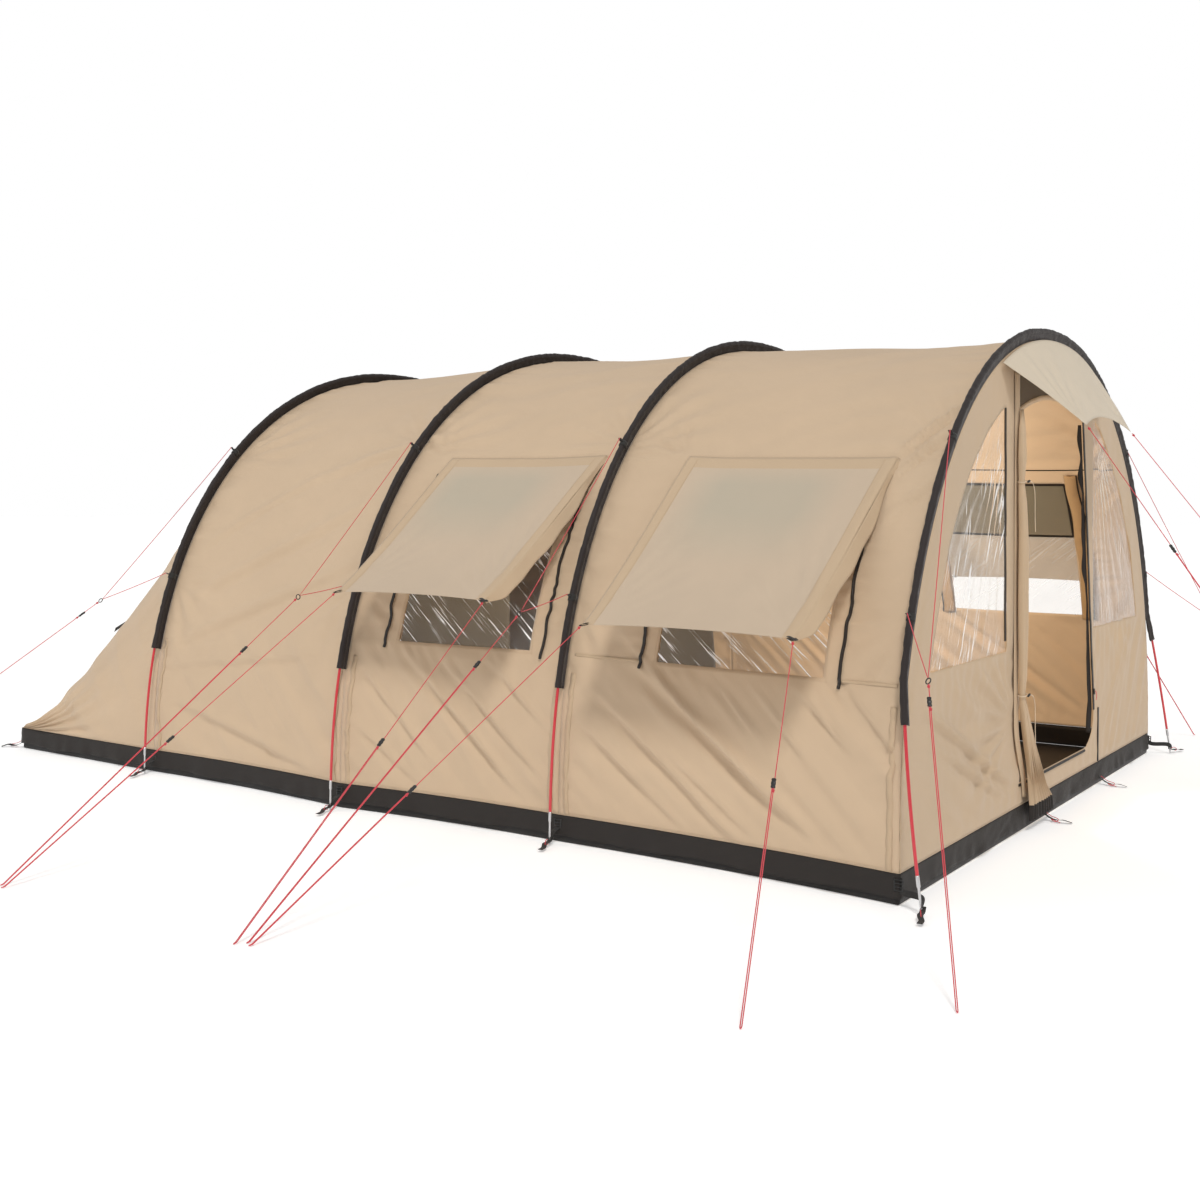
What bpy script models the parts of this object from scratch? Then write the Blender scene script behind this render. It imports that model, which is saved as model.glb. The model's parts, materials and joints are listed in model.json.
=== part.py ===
"""Four-hoop tunnel tent with an open front door, awnings over its side windows and guy lines.

Metres, +Z up. +X points out of the door, the near side is -Y, and the origin lies on the ground
in the middle of the tent, guy lines left out. Inside the script, x is counted from the front hoop
("along"), and the last step of each shape shifts it to the tent's middle.
"""

import math

import bpy
from mathutils import Vector

# ---------------------------------------------------------------- sizes of the tent
BAY_LENGTHS = (1.338, 1.050, 1.214)
TAIL_LENGTH = 1.033
TAIL_HALF_WIDTH = 1.586
TAIL_SPREAD = 2.2
HOOP_HALF_WIDTHS = (1.624, 1.593, 1.663, 1.635)
HOOP_HEIGHTS = (1.931, 1.960, 1.960, 1.916)
SIDE_FULLNESS = 2.13
TOP_FULLNESS = 2.25
FRONT_FEET_FORWARD = 0.096
FORWARD_BEND_HEIGHT = 0.70

# ---------------------------------------------------------------- poles and sleeves
POLE_RADIUS = 0.0055
SLEEVE_GAP = 0.0015
SLEEVE_WALL = 0.002
SLEEVE_FIN = 0.030
SLEEVE_END_HEIGHT = 0.565

# ---------------------------------------------------------------- cloth
CLOTH = 0.002
SEAM_GAP = 0.001
FLY_BELOW_POLE = 0.034
FOOT_TUCK = 0.020
WALL_SAG = 0.022
ROOF_SAG = 0.014
SKIRT_TOP = 0.100
SKIRT_BOTTOM = 0.035
TUB_RIM = 0.096
TUB_GAP = 0.004

# ---------------------------------------------------------------- windows in the side walls
WINDOW_SILL = 0.690
WINDOW_RAIL = 1.020
WINDOW_TOP = 1.360
FRONT_WINDOW_ALONG = (-0.300, -0.955)
MIDDLE_WINDOW_ALONG = (-BAY_LENGTHS[0] - 0.182, -BAY_LENGTHS[0] - 0.812)
WINDOW_GAP = 0.002

# ---------------------------------------------------------------- awnings over those windows
AWNING_HINGE_HEIGHT = WINDOW_TOP + 0.070
AWNING_OFF_WALL = 0.004
FRONT_AWNING_ALONG = (-0.190, -1.038)
MIDDLE_AWNING_ALONG = (-BAY_LENGTHS[0] - 0.079, -BAY_LENGTHS[0] - 0.854)
AWNING_CORNERS_ALONG = {"front": (-0.270, -1.075),
                        "middle": (-BAY_LENGTHS[0] - 0.172, -BAY_LENGTHS[0] - 0.919)}
AWNING_CORNER_OUT = 1.762
AWNING_CORNER_HEIGHTS = {"front": 0.828, "middle": 0.890}
AWNING_SAG = 0.025

# ---------------------------------------------------------------- front wall, its door and windows
DOOR_LEFT = -0.430
DOOR_RIGHT_LOW = 0.600
DOOR_RIGHT_HIGH = 0.400
DOOR_SILL = 0.190
DOOR_HEAD = HOOP_HEIGHTS[0] - 0.341
DOOR_RISE = 0.070
DOOR_CORNER = 0.150
PVC_FROM_HOOP = 0.200
PVC_INNER = 0.580
PVC_SILL = 0.700
PVC_HEAD = HOOP_HEIGHTS[0] - 0.331
VENT_CLEAR = 0.020
VENT_HEAD = HOOP_HEIGHTS[0] - 0.141
VENT_TOP_DROP = 0.040
VENT_TOP_RISE = 0.60
VISOR_HALF_WIDTH = 0.660
VISOR_CORNER = (0.222, 0.324, HOOP_HEIGHTS[0] - 0.388)
VISOR_EDGE_RISE = 0.045
VISOR_OFF_WALL = 0.016

# ---------------------------------------------------------------- rolled door and its zip slider
FLAP_TOP = DOOR_HEAD + 0.010
FLAP_OFF_WALL = 0.012
SLIDER_SIZE = (0.008, 0.012, 0.026)
SLIDER_HEIGHT = 0.420
SLIDER_OFF_EDGE = 0.014
SLIDER_OFF_WALL = 0.0015

# ---------------------------------------------------------------- sleeping cabin wall
CABIN_WALL_BEHIND_HOOP = 0.060
CABIN_WALL_INSET = 0.120
CABIN_DOOR_HALF_WIDTH = 0.450
CABIN_DOOR_SILL = 0.200
CABIN_DOOR_HEAD = HOOP_HEIGHTS[2] - 0.460
CABIN_WALL_OFF_RIM = 0.004

# ---------------------------------------------------------------- rear vent and its hood
VENT_ACROSS = (-1.200, -0.930)
VENT_SHARE = (0.64, 0.73)
VENT_ROW_MARGIN = 0.05
HOOD_ABOVE_VENT = 0.02
HOOD_LENGTH = 0.180
HOOD_BULGE = 0.10
HOOD_OPEN = math.radians(42)
HOOD_OVERHANG = 0.030
HOOD_OFF_TAIL = 0.006

# ---------------------------------------------------------------- guy lines
LINE_RADIUS = 0.0015
LINE_OFF_SLEEVE = 0.018
UPPER_GUY_HEIGHT = 1.470
LOWER_GUY_HEIGHT = 0.890
LINE_POINTS = 5
HOOP_NAMES = ("front", "second", "third", "rear")
# For each hoop: the peg's place along from the hoop and out from the middle, how far down from the
# upper tab to the lower one the line pulls, and the ring's share of the way from the hoop to the peg.
HOOP_GUYS = {
    "near": ((0.465, -2.316, 0.76, 0.309), (-0.032, -2.963, 0.59, 0.259),
             (-0.082, -3.030, 0.55, 0.261), (-1.068, -2.330, 0.75, 0.266)),
    "far": ((0.760, 2.250, 0.76, 0.370), (-0.032, 2.290, 0.59, 0.450),
            (-0.082, 2.290, 0.55, 0.450), (-0.998, 2.250, 0.75, 0.370)),
}
# Each awning's two pegs, along from the hoop in front of it and out from the middle.
AWNING_PEGS = {
    "near": {"front": ((0.077, -2.712), (-1.345, -2.975)), "middle": ((-0.057, -2.990), (-1.102, -3.045))},
    "far": {"front": ((0.077, 2.250), (-1.345, 2.275)), "middle": ((-0.057, 2.275), (-1.102, 2.275))},
}
VISOR_PEG = (1.340, 0.640)
PEG_LOOP_HEIGHT = 0.004

# ---------------------------------------------------------------- tensioners on the lines
TENSIONER_LENGTH = 0.036
TENSIONER_WIDTH = 0.014
TENSIONER_THICKNESS = 0.008
TENSIONER_BORE = 0.0024
HOOP_TENSIONER_FROM_RING = (0.066, 0.263, 0.309, 0.096)
AWNING_TENSIONER_FROM_CORNER = {"front": (0.558, 0.832), "middle": (0.712, 0.852)}
VISOR_TENSIONER_FROM_CORNER = 0.560

# ---------------------------------------------------------------- fineness
POLE_SIDES = 8
SLEEVE_STATIONS = 24
POLE_STATIONS = 30
FLY_HEM = SKIRT_TOP + SEAM_GAP
LOW_ROW_HEIGHT = 0.380
ROOF_ROW_SHARES = (0.333, 0.665, 0.893)
ROOF_ROWS = [WINDOW_TOP + share * (HOOP_HEIGHTS[0] - WINDOW_TOP) for share in ROOF_ROW_SHARES]
WALL_HEIGHTS = (FLY_HEM, LOW_ROW_HEIGHT, WINDOW_SILL, WINDOW_RAIL, WINDOW_TOP, *ROOF_ROWS)

HOOP_ALONG = (0.0, -BAY_LENGTHS[0], -sum(BAY_LENGTHS[:2]), -sum(BAY_LENGTHS))
TAIL_ALONG = HOOP_ALONG[3] - TAIL_LENGTH
FRONT_MOST = VISOR_CORNER[0] + CLOTH
MIDDLE_ALONG = (FRONT_MOST + TAIL_ALONG) / 2


# ================================================================ materials and bodies
def make_material(name, colour, roughness, metallic=0.0):
    material = bpy.data.materials.new(name)
    material.use_nodes = True
    shader = material.node_tree.nodes["Principled BSDF"]
    shader.inputs["Base Color"].default_value = (*colour, 1.0)
    shader.inputs["Roughness"].default_value = roughness
    shader.inputs["Metallic"].default_value = metallic
    material.diffuse_color = (*colour, 1.0)
    return material


def to_tent_frame(point):
    """A point counted along from the front hoop, moved to the tent's own origin."""
    return Vector(point) - Vector((MIDDLE_ALONG, 0.0, 0.0))


def make_solid(name, points, faces, material):
    mesh = bpy.data.meshes.new(name)
    mesh.from_pydata([to_tent_frame(p) for p in points], [], faces)
    mesh.materials.append(material)
    mesh.update()
    made = bpy.data.objects.new(name, mesh)
    bpy.context.scene.collection.objects.link(made)
    return made


def move_origin(made, place):
    """Puts the object's origin on the given place without moving its shape."""
    origin = to_tent_frame(place)
    for vertex in made.data.vertices:
        vertex.co -= origin
    made.location = origin


def give_thickness(made, thickness, offset=-1.0):
    """Turns a single sheet into a closed solid; offset -1 grows it behind its faces."""
    solidify = made.modifiers.new("cloth", "SOLIDIFY")
    solidify.thickness = thickness
    solidify.offset = offset
    solidify.use_even_offset = True
    return made


def sheet_solid(name, rows, material, thickness=CLOTH, offset=-1.0, is_cut=None, flip=False):
    """A closed cloth solid over a grid of points, with the cells that is_cut names left out."""
    columns = len(rows[0])
    faces = []
    for i in range(len(rows) - 1):
        for j in range(columns - 1):
            if is_cut and is_cut(i, j):
                continue
            corner = i * columns + j
            face = (corner, corner + 1, corner + columns + 1, corner + columns)
            faces.append(face[::-1] if flip else face)
    used = sorted({index for face in faces for index in face})
    renumber = {old: new for new, old in enumerate(used)}
    points = [point for row in rows for point in row]
    faces = [tuple(renumber[index] for index in face) for face in faces]
    made = make_solid(name, [points[index] for index in used], faces, material)
    return give_thickness(made, thickness, offset)


def swept_solid(name, rings, material, bore_rings=None):
    """A closed solid through rings of points, with an open bore when bore_rings are given."""
    sides = len(rings[0])
    points = [point for ring in rings for point in ring]
    faces = []
    for k in range(len(rings) - 1):
        for s in range(sides):
            a, b = k * sides + s, k * sides + (s + 1) % sides
            faces.append((a, b, b + sides, a + sides))
    last = (len(rings) - 1) * sides
    if bore_rings is None:
        faces.append(tuple(reversed(range(sides))))
        faces.append(tuple(last + s for s in range(sides)))
        return make_solid(name, points, faces, material)
    inner = len(points)
    points += [point for ring in bore_rings for point in ring]
    for k in range(len(rings) - 1):
        for s in range(sides):
            a, b = inner + k * sides + s, inner + k * sides + (s + 1) % sides
            faces.append((b, a, a + sides, b + sides))
    for s in range(sides):
        after = (s + 1) % sides
        faces.append((after, s, inner + s, inner + after))
        faces.append((last + s, last + after, inner + last + after, inner + last + s))
    return make_solid(name, points, faces, material)


def flat_panel(name, outlines, along, thickness, material):
    """An upright panel across the tent: the first outline less the others, as (across, height)."""
    curve = bpy.data.curves.new(name, "CURVE")
    curve.dimensions = "2D"
    curve.fill_mode = "BOTH"
    curve.extrude = thickness / 2
    for outline in outlines:
        spline = curve.splines.new("POLY")
        spline.points.add(len(outline) - 1)
        for point, (across, height) in zip(spline.points, outline):
            point.co = (across, height, 0.0, 1.0)
        spline.use_cyclic_u = True
    curve.materials.append(material)
    made = bpy.data.objects.new(name, curve)
    made.rotation_euler = (math.pi / 2, 0.0, math.pi / 2)
    made.location = to_tent_frame((along, 0.0, 0.0))
    bpy.context.scene.collection.objects.link(made)
    return made


# ================================================================ the tent's curves
def turn_at_height(height, top):
    """Angle along a hoop, 0 at the near foot, where it has the given height."""
    share = min(height / top, 1.0)
    return math.asin(share ** (TOP_FULLNESS / 2))


def hoop_point(along, half_width, top, angle):
    """A point of a hoop; angle runs from 0 at the near foot to pi at the far foot."""
    across = -half_width * math.copysign(abs(math.cos(angle)) ** (2 / SIDE_FULLNESS), math.cos(angle))
    height = top * max(math.sin(angle), 0.0) ** (2 / TOP_FULLNESS)
    return Vector((along, across, height))


def hoop_offset_point(hoop, angle, below, aside=0.0):
    """A point measured from a hoop's centre line: below it towards the inside, and aside in x."""
    along = HOOP_ALONG[hoop] + aside
    point = hoop_point(along, HOOP_HALF_WIDTHS[hoop] - below, HOOP_HEIGHTS[hoop] - below, angle)
    if hoop == 0:
        point.x += FRONT_FEET_FORWARD * max(0.0, 1.0 - point.z / FORWARD_BEND_HEIGHT)
    return point


def between_hoops(along, values):
    for i in range(3):
        if along >= HOOP_ALONG[i + 1]:
            share = (HOOP_ALONG[i] - along) / BAY_LENGTHS[i]
            return values[i] + share * (values[i + 1] - values[i])
    return values[3]


def sag_share(along):
    """0 at the hoops and 1 halfway between two of them."""
    for i in range(3):
        if along >= HOOP_ALONG[i + 1]:
            share = min(max((HOOP_ALONG[i] - along) / BAY_LENGTHS[i], 0.0), 1.0)
            return 4 * share * (1 - share)
    return 0.0


def foot_tuck(height):
    return FOOT_TUCK * max(0.0, 1.0 - height / SLEEVE_END_HEIGHT)


def fly_point(along, angle, raised=0.0):
    """A point on the fly's outer face, raised above it when asked."""
    sag = sag_share(along)
    width = between_hoops(along, HOOP_HALF_WIDTHS) - FLY_BELOW_POLE - WALL_SAG * sag + raised
    top = between_hoops(along, HOOP_HEIGHTS) - FLY_BELOW_POLE - ROOF_SAG * sag + raised
    point = hoop_point(along, width, top, angle)
    point.y -= math.copysign(foot_tuck(point.z), point.y)
    point.z = max(point.z, FLY_HEM)
    return point


def wall_angles():
    """Angles of the fly's rows from the near edge over the roof to the far edge."""
    top = HOOP_HEIGHTS[0]
    near = [turn_at_height(height, top) for height in WALL_HEIGHTS]
    return near + [math.pi / 2] + [math.pi - angle for angle in reversed(near)]


def tail_point(share, angle, raised=0.0):
    """A point on the tail: share 0 at the rear hoop and 1 on the tail's straight bottom edge."""
    start = fly_point(HOOP_ALONG[3], angle, raised)
    lowest = wall_angles()[0]
    side = max(-1.0, min(1.0, (angle - math.pi / 2) / (math.pi / 2 - lowest)))
    spread = math.copysign(1.0 - (1.0 - abs(side)) ** TAIL_SPREAD, side)
    foot = fly_point(HOOP_ALONG[3], lowest)
    end = Vector((TAIL_ALONG + CLOTH - raised, TAIL_HALF_WIDTH * spread, foot.z))
    return start.lerp(end, share)


# ================================================================ poles and their sleeves
def build_poles_and_sleeves(pole_red, sleeve_brown):
    for hoop, name in enumerate(HOOP_NAMES):
        rings = []
        for k in range(POLE_STATIONS + 1):
            angle = math.pi * k / POLE_STATIONS
            rings.append(round_ring(hoop, angle, POLE_RADIUS))
        swept_solid("pole_" + name, rings, pole_red)

        outer, bore = [], []
        start = turn_at_height(SLEEVE_END_HEIGHT, HOOP_HEIGHTS[hoop])
        for k in range(SLEEVE_STATIONS + 1):
            angle = start + (math.pi - 2 * start) * k / SLEEVE_STATIONS
            outer.append(sleeve_ring(hoop, angle))
            bore.append(round_ring(hoop, angle, POLE_RADIUS + SLEEVE_GAP + pole_flat(hoop)))
        swept_solid("sleeve_" + name, outer, sleeve_brown, bore)


def pole_flat(hoop):
    """How far a straight facet of the pole lies inside its curve, so that the bore clears it."""
    step = math.pi / POLE_STATIONS
    return HOOP_HEIGHTS[hoop] * (1 - math.cos(step / 2)) * 2


def round_ring(hoop, angle, radius):
    """A round section of the given radius across a hoop's centre line."""
    ring = []
    for s in range(POLE_SIDES):
        turn = 2 * math.pi * (s + 0.5) / POLE_SIDES
        ring.append(hoop_offset_point(hoop, angle, -radius * math.cos(turn), radius * math.sin(turn)))
    return ring


def sleeve_ring(hoop, angle):
    """The sleeve's section: round over the pole, narrowing to a seam on the fly."""
    half = POLE_RADIUS + SLEEVE_GAP + SLEEVE_WALL + pole_flat(hoop)
    seam = CLOTH
    outline = ((-half, -0.4 * half), (-half, 0.4 * half), (-0.4 * half, half), (0.5 * half, half),
               (SLEEVE_FIN, seam), (SLEEVE_FIN, -seam), (0.5 * half, -half), (-0.4 * half, -half))
    return [hoop_offset_point(hoop, angle, below, aside) for below, aside in outline]


# ================================================================ fly panels, windows and tail
def window_rows(angles):
    """Row numbers between which the near and the far window lie."""
    low, high = WALL_HEIGHTS.index(WINDOW_SILL), WALL_HEIGHTS.index(WINDOW_TOP)
    cells = len(angles) - 1
    return set(range(low, high)) | set(range(cells - high, cells - low))


def build_fly(sand, mesh_and_clear):
    angles = wall_angles()
    windows = window_rows(angles)
    plans = (("front", 0, FRONT_WINDOW_ALONG), ("middle", 1, MIDDLE_WINDOW_ALONG), ("rear", 2, None))
    for name, bay, window in plans:
        start = HOOP_ALONG[bay] - SEAM_GAP / 2
        end = HOOP_ALONG[bay + 1] + SEAM_GAP / 2
        quarter = (start - end) / 4
        if window:
            alongs = [start, (start + window[0]) / 2, window[0], sum(window) / 2, window[1],
                      (window[1] + end) / 2, end]
            gaps = (2, 3)
        else:
            alongs = [start - quarter * k for k in range(5)]
            gaps = ()
        rows = [[fly_point(along, angle) for angle in angles] for along in alongs]
        sheet_solid("fly_" + name + "_bay", rows, sand,
                    is_cut=lambda i, j, gaps=gaps: i in gaps and j in windows)
        if window:
            build_side_windows(name, window, mesh_and_clear)


def build_side_windows(name, window, material):
    """The mesh and clear pane of each side window, as one thin panel in the opening."""
    low = turn_at_height(WINDOW_SILL, HOOP_HEIGHTS[0])
    middle = turn_at_height(WINDOW_RAIL, HOOP_HEIGHTS[0])
    high = turn_at_height(WINDOW_TOP, HOOP_HEIGHTS[0])
    margin = WINDOW_GAP / HOOP_HEIGHTS[0]
    near = (low + margin, middle, high - margin)
    alongs = (window[0] - WINDOW_GAP, sum(window) / 2, window[1] + WINDOW_GAP)
    for side, angles in (("near", near), ("far", [math.pi - angle for angle in reversed(near)])):
        rows = [[fly_point(along, angle) for angle in angles] for along in alongs]
        sheet_solid("window_" + name + "_" + side, rows, material, thickness=CLOTH / 2)


def build_tail(sand, vent_brown):
    angles = wall_angles()
    vent_angles = [tail_angle_for(across, sum(VENT_SHARE) / 2) for across in VENT_ACROSS]
    angles = sorted([a for a in angles if not vent_angles[0] - VENT_ROW_MARGIN < a < vent_angles[1] + VENT_ROW_MARGIN]
                    + vent_angles)
    cut_row = angles.index(vent_angles[0])
    first = (SEAM_GAP + 2 * CLOTH) / TAIL_LENGTH
    shares = (first, VENT_SHARE[0] / 2, VENT_SHARE[0], VENT_SHARE[1], 1.0)
    rows = [[tail_point(share, angle) for angle in angles] for share in shares]
    sheet_solid("fly_tail", rows, sand, is_cut=lambda i, j: i == 2 and j == cut_row)

    margin = WINDOW_GAP / TAIL_LENGTH
    inner_angles = (vent_angles[0] + margin, vent_angles[1] - margin)
    inner_shares = (VENT_SHARE[0] + margin, VENT_SHARE[1] - margin)
    rows = [[tail_point(share, angle) for angle in inner_angles] for share in inner_shares]
    sheet_solid("rear_vent_mesh", rows, vent_brown, thickness=CLOTH / 2)
    build_vent_hood(vent_angles, vent_brown)


def tail_angle_for(across, share):
    """The angle whose tail line passes the given place across, found by halving."""
    low, high = 0.0, math.pi / 2
    for _ in range(40):
        middle = (low + high) / 2
        if tail_point(share, middle).y < across:
            low = middle
        else:
            high = middle
    return low


def build_vent_hood(vent_angles, material):
    """A stiffened hood that is hinged above the vent and stands open over it."""
    top_share = VENT_SHARE[0] - HOOD_ABOVE_VENT
    near, far = (tail_point(top_share, angle) for angle in vent_angles)
    lower = tail_point(VENT_SHARE[1], sum(vent_angles) / 2)
    hinge = (far - near).normalized()
    down = (lower - (near + far) / 2)
    down = (down - hinge * down.dot(hinge)).normalized()
    outward = hinge.cross(down)
    if outward.x > 0:
        outward = -outward
    reach = down * math.cos(HOOD_OPEN) + outward * math.sin(HOOD_OPEN)
    near = near - hinge * HOOD_OVERHANG + outward * HOOD_OFF_TAIL
    far = far + hinge * HOOD_OVERHANG + outward * HOOD_OFF_TAIL
    arch = outward * math.cos(HOOD_OPEN) - down * math.sin(HOOD_OPEN)
    rows = []
    for share in (0.0, 0.5, 1.0):
        row = []
        for side in (0.0, 0.25, 0.5, 0.75, 1.0):
            bulge = HOOD_BULGE * HOOD_LENGTH * share * 4 * side * (1 - side)
            row.append(near.lerp(far, side) + reach * HOOD_LENGTH * share + arch * bulge)
        rows.append(row)
    hood = sheet_solid("vent_hood", rows, material, offset=1.0)
    move_origin(hood, (near + far) / 2)


# ================================================================ awnings and visor
def build_awnings(sand):
    hinges = {"front": FRONT_AWNING_ALONG, "middle": MIDDLE_AWNING_ALONG}
    angle = turn_at_height(AWNING_HINGE_HEIGHT, HOOP_HEIGHTS[0])
    for name, (front, rear) in hinges.items():
        corners = AWNING_CORNERS_ALONG[name]
        height = AWNING_CORNER_HEIGHTS[name]
        for side, sign in (("near", -1), ("far", 1)):
            rows = []
            for k in range(5):
                share = k / 4
                top = fly_point(front + share * (rear - front), angle, AWNING_OFF_WALL)
                low = Vector((corners[0] + share * (corners[1] - corners[0]), -AWNING_CORNER_OUT, height))
                low.z += AWNING_SAG * 4 * share * (1 - share) / 2
                row = []
                for drop in (0.0, 0.33, 0.67, 1.0):
                    point = top.lerp(low, drop)
                    point.z -= AWNING_SAG * 4 * drop * (1 - drop)
                    point.y *= -sign
                    row.append(point)
                rows.append(row)
            sheet_solid("awning_" + name + "_" + side, rows, sand, offset=1.0, flip=sign > 0)


def build_visor(sand):
    """The canopy over the door, from the front hoop's top to its two guyed corners."""
    reach, half, height = VISOR_CORNER
    low = angle_at_across(VISOR_HALF_WIDTH)
    rows = []
    for k in range(13):
        share = k / 12
        angle = low + (math.pi - 2 * low) * share
        top = hoop_offset_point(0, angle, FLY_BELOW_POLE + SEAM_GAP)
        top.x = VISOR_OFF_WALL
        edge = Vector((reach, half * (2 * share - 1), height + VISOR_EDGE_RISE * 4 * share * (1 - share)))
        rows.append([top.lerp(edge, drop) for drop in (0.0, 0.33, 0.67, 1.0)])
    sheet_solid("visor", rows, sand, flip=True)


def angle_at_across(half):
    """The angle on the front hoop at which it is the given half width from the middle."""
    share = half / (HOOP_HALF_WIDTHS[0] - FLY_BELOW_POLE)
    return math.acos(share ** (SIDE_FULLNESS / 2))


# ================================================================ front wall and cabin wall
def arch_outline(inset, bottom, count=24, hoop=0):
    """An outline as (across, height): a hoop made smaller by inset and cut off at the bottom."""
    width, top = HOOP_HALF_WIDTHS[hoop] - inset, HOOP_HEIGHTS[hoop] - inset
    start = turn_at_height(bottom, top)
    outline = []
    for k in range(count + 1):
        point = hoop_point(0.0, width, top, start + (math.pi - 2 * start) * k / count)
        tuck = math.copysign(foot_tuck(point.z), point.y)
        outline.append((point.y - tuck, point.z))
    return outline


def door_outline(shrink=0.0):
    """The door opening, anticlockwise from its low left corner, made smaller by shrink."""
    left, low, high = DOOR_LEFT + shrink, DOOR_RIGHT_LOW - shrink, DOOR_RIGHT_HIGH - shrink
    sill, head = DOOR_SILL + shrink, DOOR_HEAD - shrink
    corner = []
    for k in range(4):
        turn = math.pi / 2 * k / 3
        corner.append((low - DOOR_CORNER * (1 - math.sin(turn)), sill + DOOR_CORNER * (1 - math.cos(turn))))
    top = []
    for k in range(7):
        share = k / 6
        top.append((high + (left - high) * share, head + DOOR_RISE * 4 * share * (1 - share)))
    return [(left, sill), *corner, *top]


def pvc_outline(side, grow=0.0):
    """A clear window between the door and the hoop, on the near (-1) or far (1) side."""
    inner, sill, head = PVC_INNER - grow, PVC_SILL - grow, PVC_HEAD + grow
    inset = PVC_FROM_HOOP - grow
    width, top = HOOP_HALF_WIDTHS[0] - inset, HOOP_HEIGHTS[0] - inset
    start = turn_at_height(sill, top)
    finish = turn_at_height(head, top)
    outline = [(side * inner, sill)]
    for k in range(6):
        point = hoop_point(0.0, width, top, start + (finish - start) * k / 5)
        outline.append((-side * point.y, point.z))
    outline.append((side * inner, head))
    return outline


def vent_outline(shrink=0.0):
    """The mesh vent between the door's head and the visor."""
    left, right = DOOR_LEFT + shrink, DOOR_RIGHT_HIGH - shrink
    low, high = DOOR_HEAD + VENT_CLEAR + shrink, VENT_HEAD - shrink
    bottom, top = [], []
    for k in range(7):
        share = k / 6
        across = left + (right - left) * share
        rise = DOOR_RISE * 4 * share * (1 - share)
        bottom.append((across, low + rise))
        top.append((across, high - VENT_TOP_DROP + rise * VENT_TOP_RISE))
    return bottom + top[::-1]


def build_front_wall(sand, clear, vent_brown):
    along = SEAM_GAP / 2 + CLOTH / 2
    wall = arch_outline(FLY_BELOW_POLE + SEAM_GAP / 2, FLY_HEM)
    holes = [door_outline(), vent_outline(), pvc_outline(-1), pvc_outline(1)]
    flat_panel("front_wall", [wall] + holes, along, CLOTH, sand)
    for name, side in (("near", -1), ("far", 1)):
        outline = pvc_outline(side, -WINDOW_GAP)
        flat_panel("front_window_" + name, [outline], along, CLOTH / 2, clear)
    flat_panel("door_vent_mesh", [vent_outline(WINDOW_GAP)], along, CLOTH / 2, vent_brown)


def build_cabin_wall(cabin_olive):
    """The sleeping cabin's front wall behind the third hoop, with its doorway open."""
    wall = arch_outline(CABIN_WALL_INSET, TUB_RIM + CABIN_WALL_OFF_RIM, hoop=2)
    half = CABIN_DOOR_HALF_WIDTH
    round_top = []
    for k in range(9):
        turn = math.pi * k / 8
        round_top.append((half * math.cos(turn), CABIN_DOOR_HEAD - half + half * math.sin(turn)))
    doorway = [(-half, CABIN_DOOR_SILL), (half, CABIN_DOOR_SILL), *round_top]
    along = HOOP_ALONG[2] - CABIN_WALL_BEHIND_HOOP
    flat_panel("cabin_wall", [wall, doorway], along, CLOTH, cabin_olive)


def build_rolled_door(sand):
    """The door panel gathered to the left of the opening, tied twice, with its hem flaring out."""
    # share of the flap's height, centre across, half width across, half thickness
    sections = ((0.038, -0.200, 0.150, 0.022), (0.100, -0.270, 0.110, 0.026), (0.206, -0.370, 0.058, 0.028),
                (0.331, -0.425, 0.024, 0.022), (0.450, -0.440, 0.036, 0.028), (0.656, -0.445, 0.042, 0.032),
                (0.831, -0.448, 0.026, 0.022), (0.906, -0.450, 0.038, 0.028), (1.000, -0.450, 0.030, 0.022))
    rings = []
    for share, across, wide, thick in sections:
        centre = SEAM_GAP / 2 + CLOTH + FLAP_OFF_WALL + thick
        ring = []
        for s in range(POLE_SIDES):
            turn = 2 * math.pi * s / POLE_SIDES
            ring.append((centre + thick * math.cos(turn), across + wide * math.sin(turn), share * FLAP_TOP))
        rings.append(ring)
    swept_solid("rolled_door", rings, sand)


def build_zip_slider(metal):
    """The door's slider on the straight far edge of the opening, low down as the door is open."""
    low, high = door_edge_at(DOOR_SILL), door_edge_at(DOOR_HEAD)
    direction = (high - low).normalized()
    centre = door_edge_at(SLIDER_HEIGHT)
    deep, wide, tall = SLIDER_SIZE
    centre.y += SLIDER_OFF_EDGE
    centre.x = SEAM_GAP / 2 + CLOTH + SLIDER_OFF_WALL + deep / 2
    across = Vector((0.0, direction.z, -direction.y))
    rings = []
    for end in (-1, 1):
        ring = []
        for sx, sy in ((-1, -1), (1, -1), (1, 1), (-1, 1)):
            offset = Vector((sx * deep / 2, 0.0, 0.0)) + across * (sy * wide / 2)
            ring.append(centre + offset + direction * (end * tall / 2))
        rings.append(ring)
    slider = swept_solid("door_zip_slider", rings, metal)
    move_origin(slider, centre)


def door_edge_at(height):
    """The place on the door's far edge at a height."""
    share = (height - DOOR_SILL) / (DOOR_HEAD - DOOR_SILL)
    return Vector((0.0, DOOR_RIGHT_LOW + share * (DOOR_RIGHT_HIGH - DOOR_RIGHT_LOW), height))


# ================================================================ skirt and groundsheet
def footprint(inset, per_bay=4):
    """The tent's outline on the ground, clockwise from the front near corner, moved in by inset."""
    near = []
    lowest = wall_angles()[0]
    for bay in range(3):
        for k in range(per_bay):
            along = HOOP_ALONG[bay] - BAY_LENGTHS[bay] * k / per_bay
            near.append((along, fly_point(along, lowest).y + inset))
    near.append((HOOP_ALONG[3], fly_point(HOOP_ALONG[3], lowest).y + inset))
    near.append((TAIL_ALONG + inset, -TAIL_HALF_WIDTH + inset))
    near[0] = (SEAM_GAP / 2 + CLOTH - inset, near[0][1])
    return near + [(along, -across) for along, across in reversed(near)]


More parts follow.
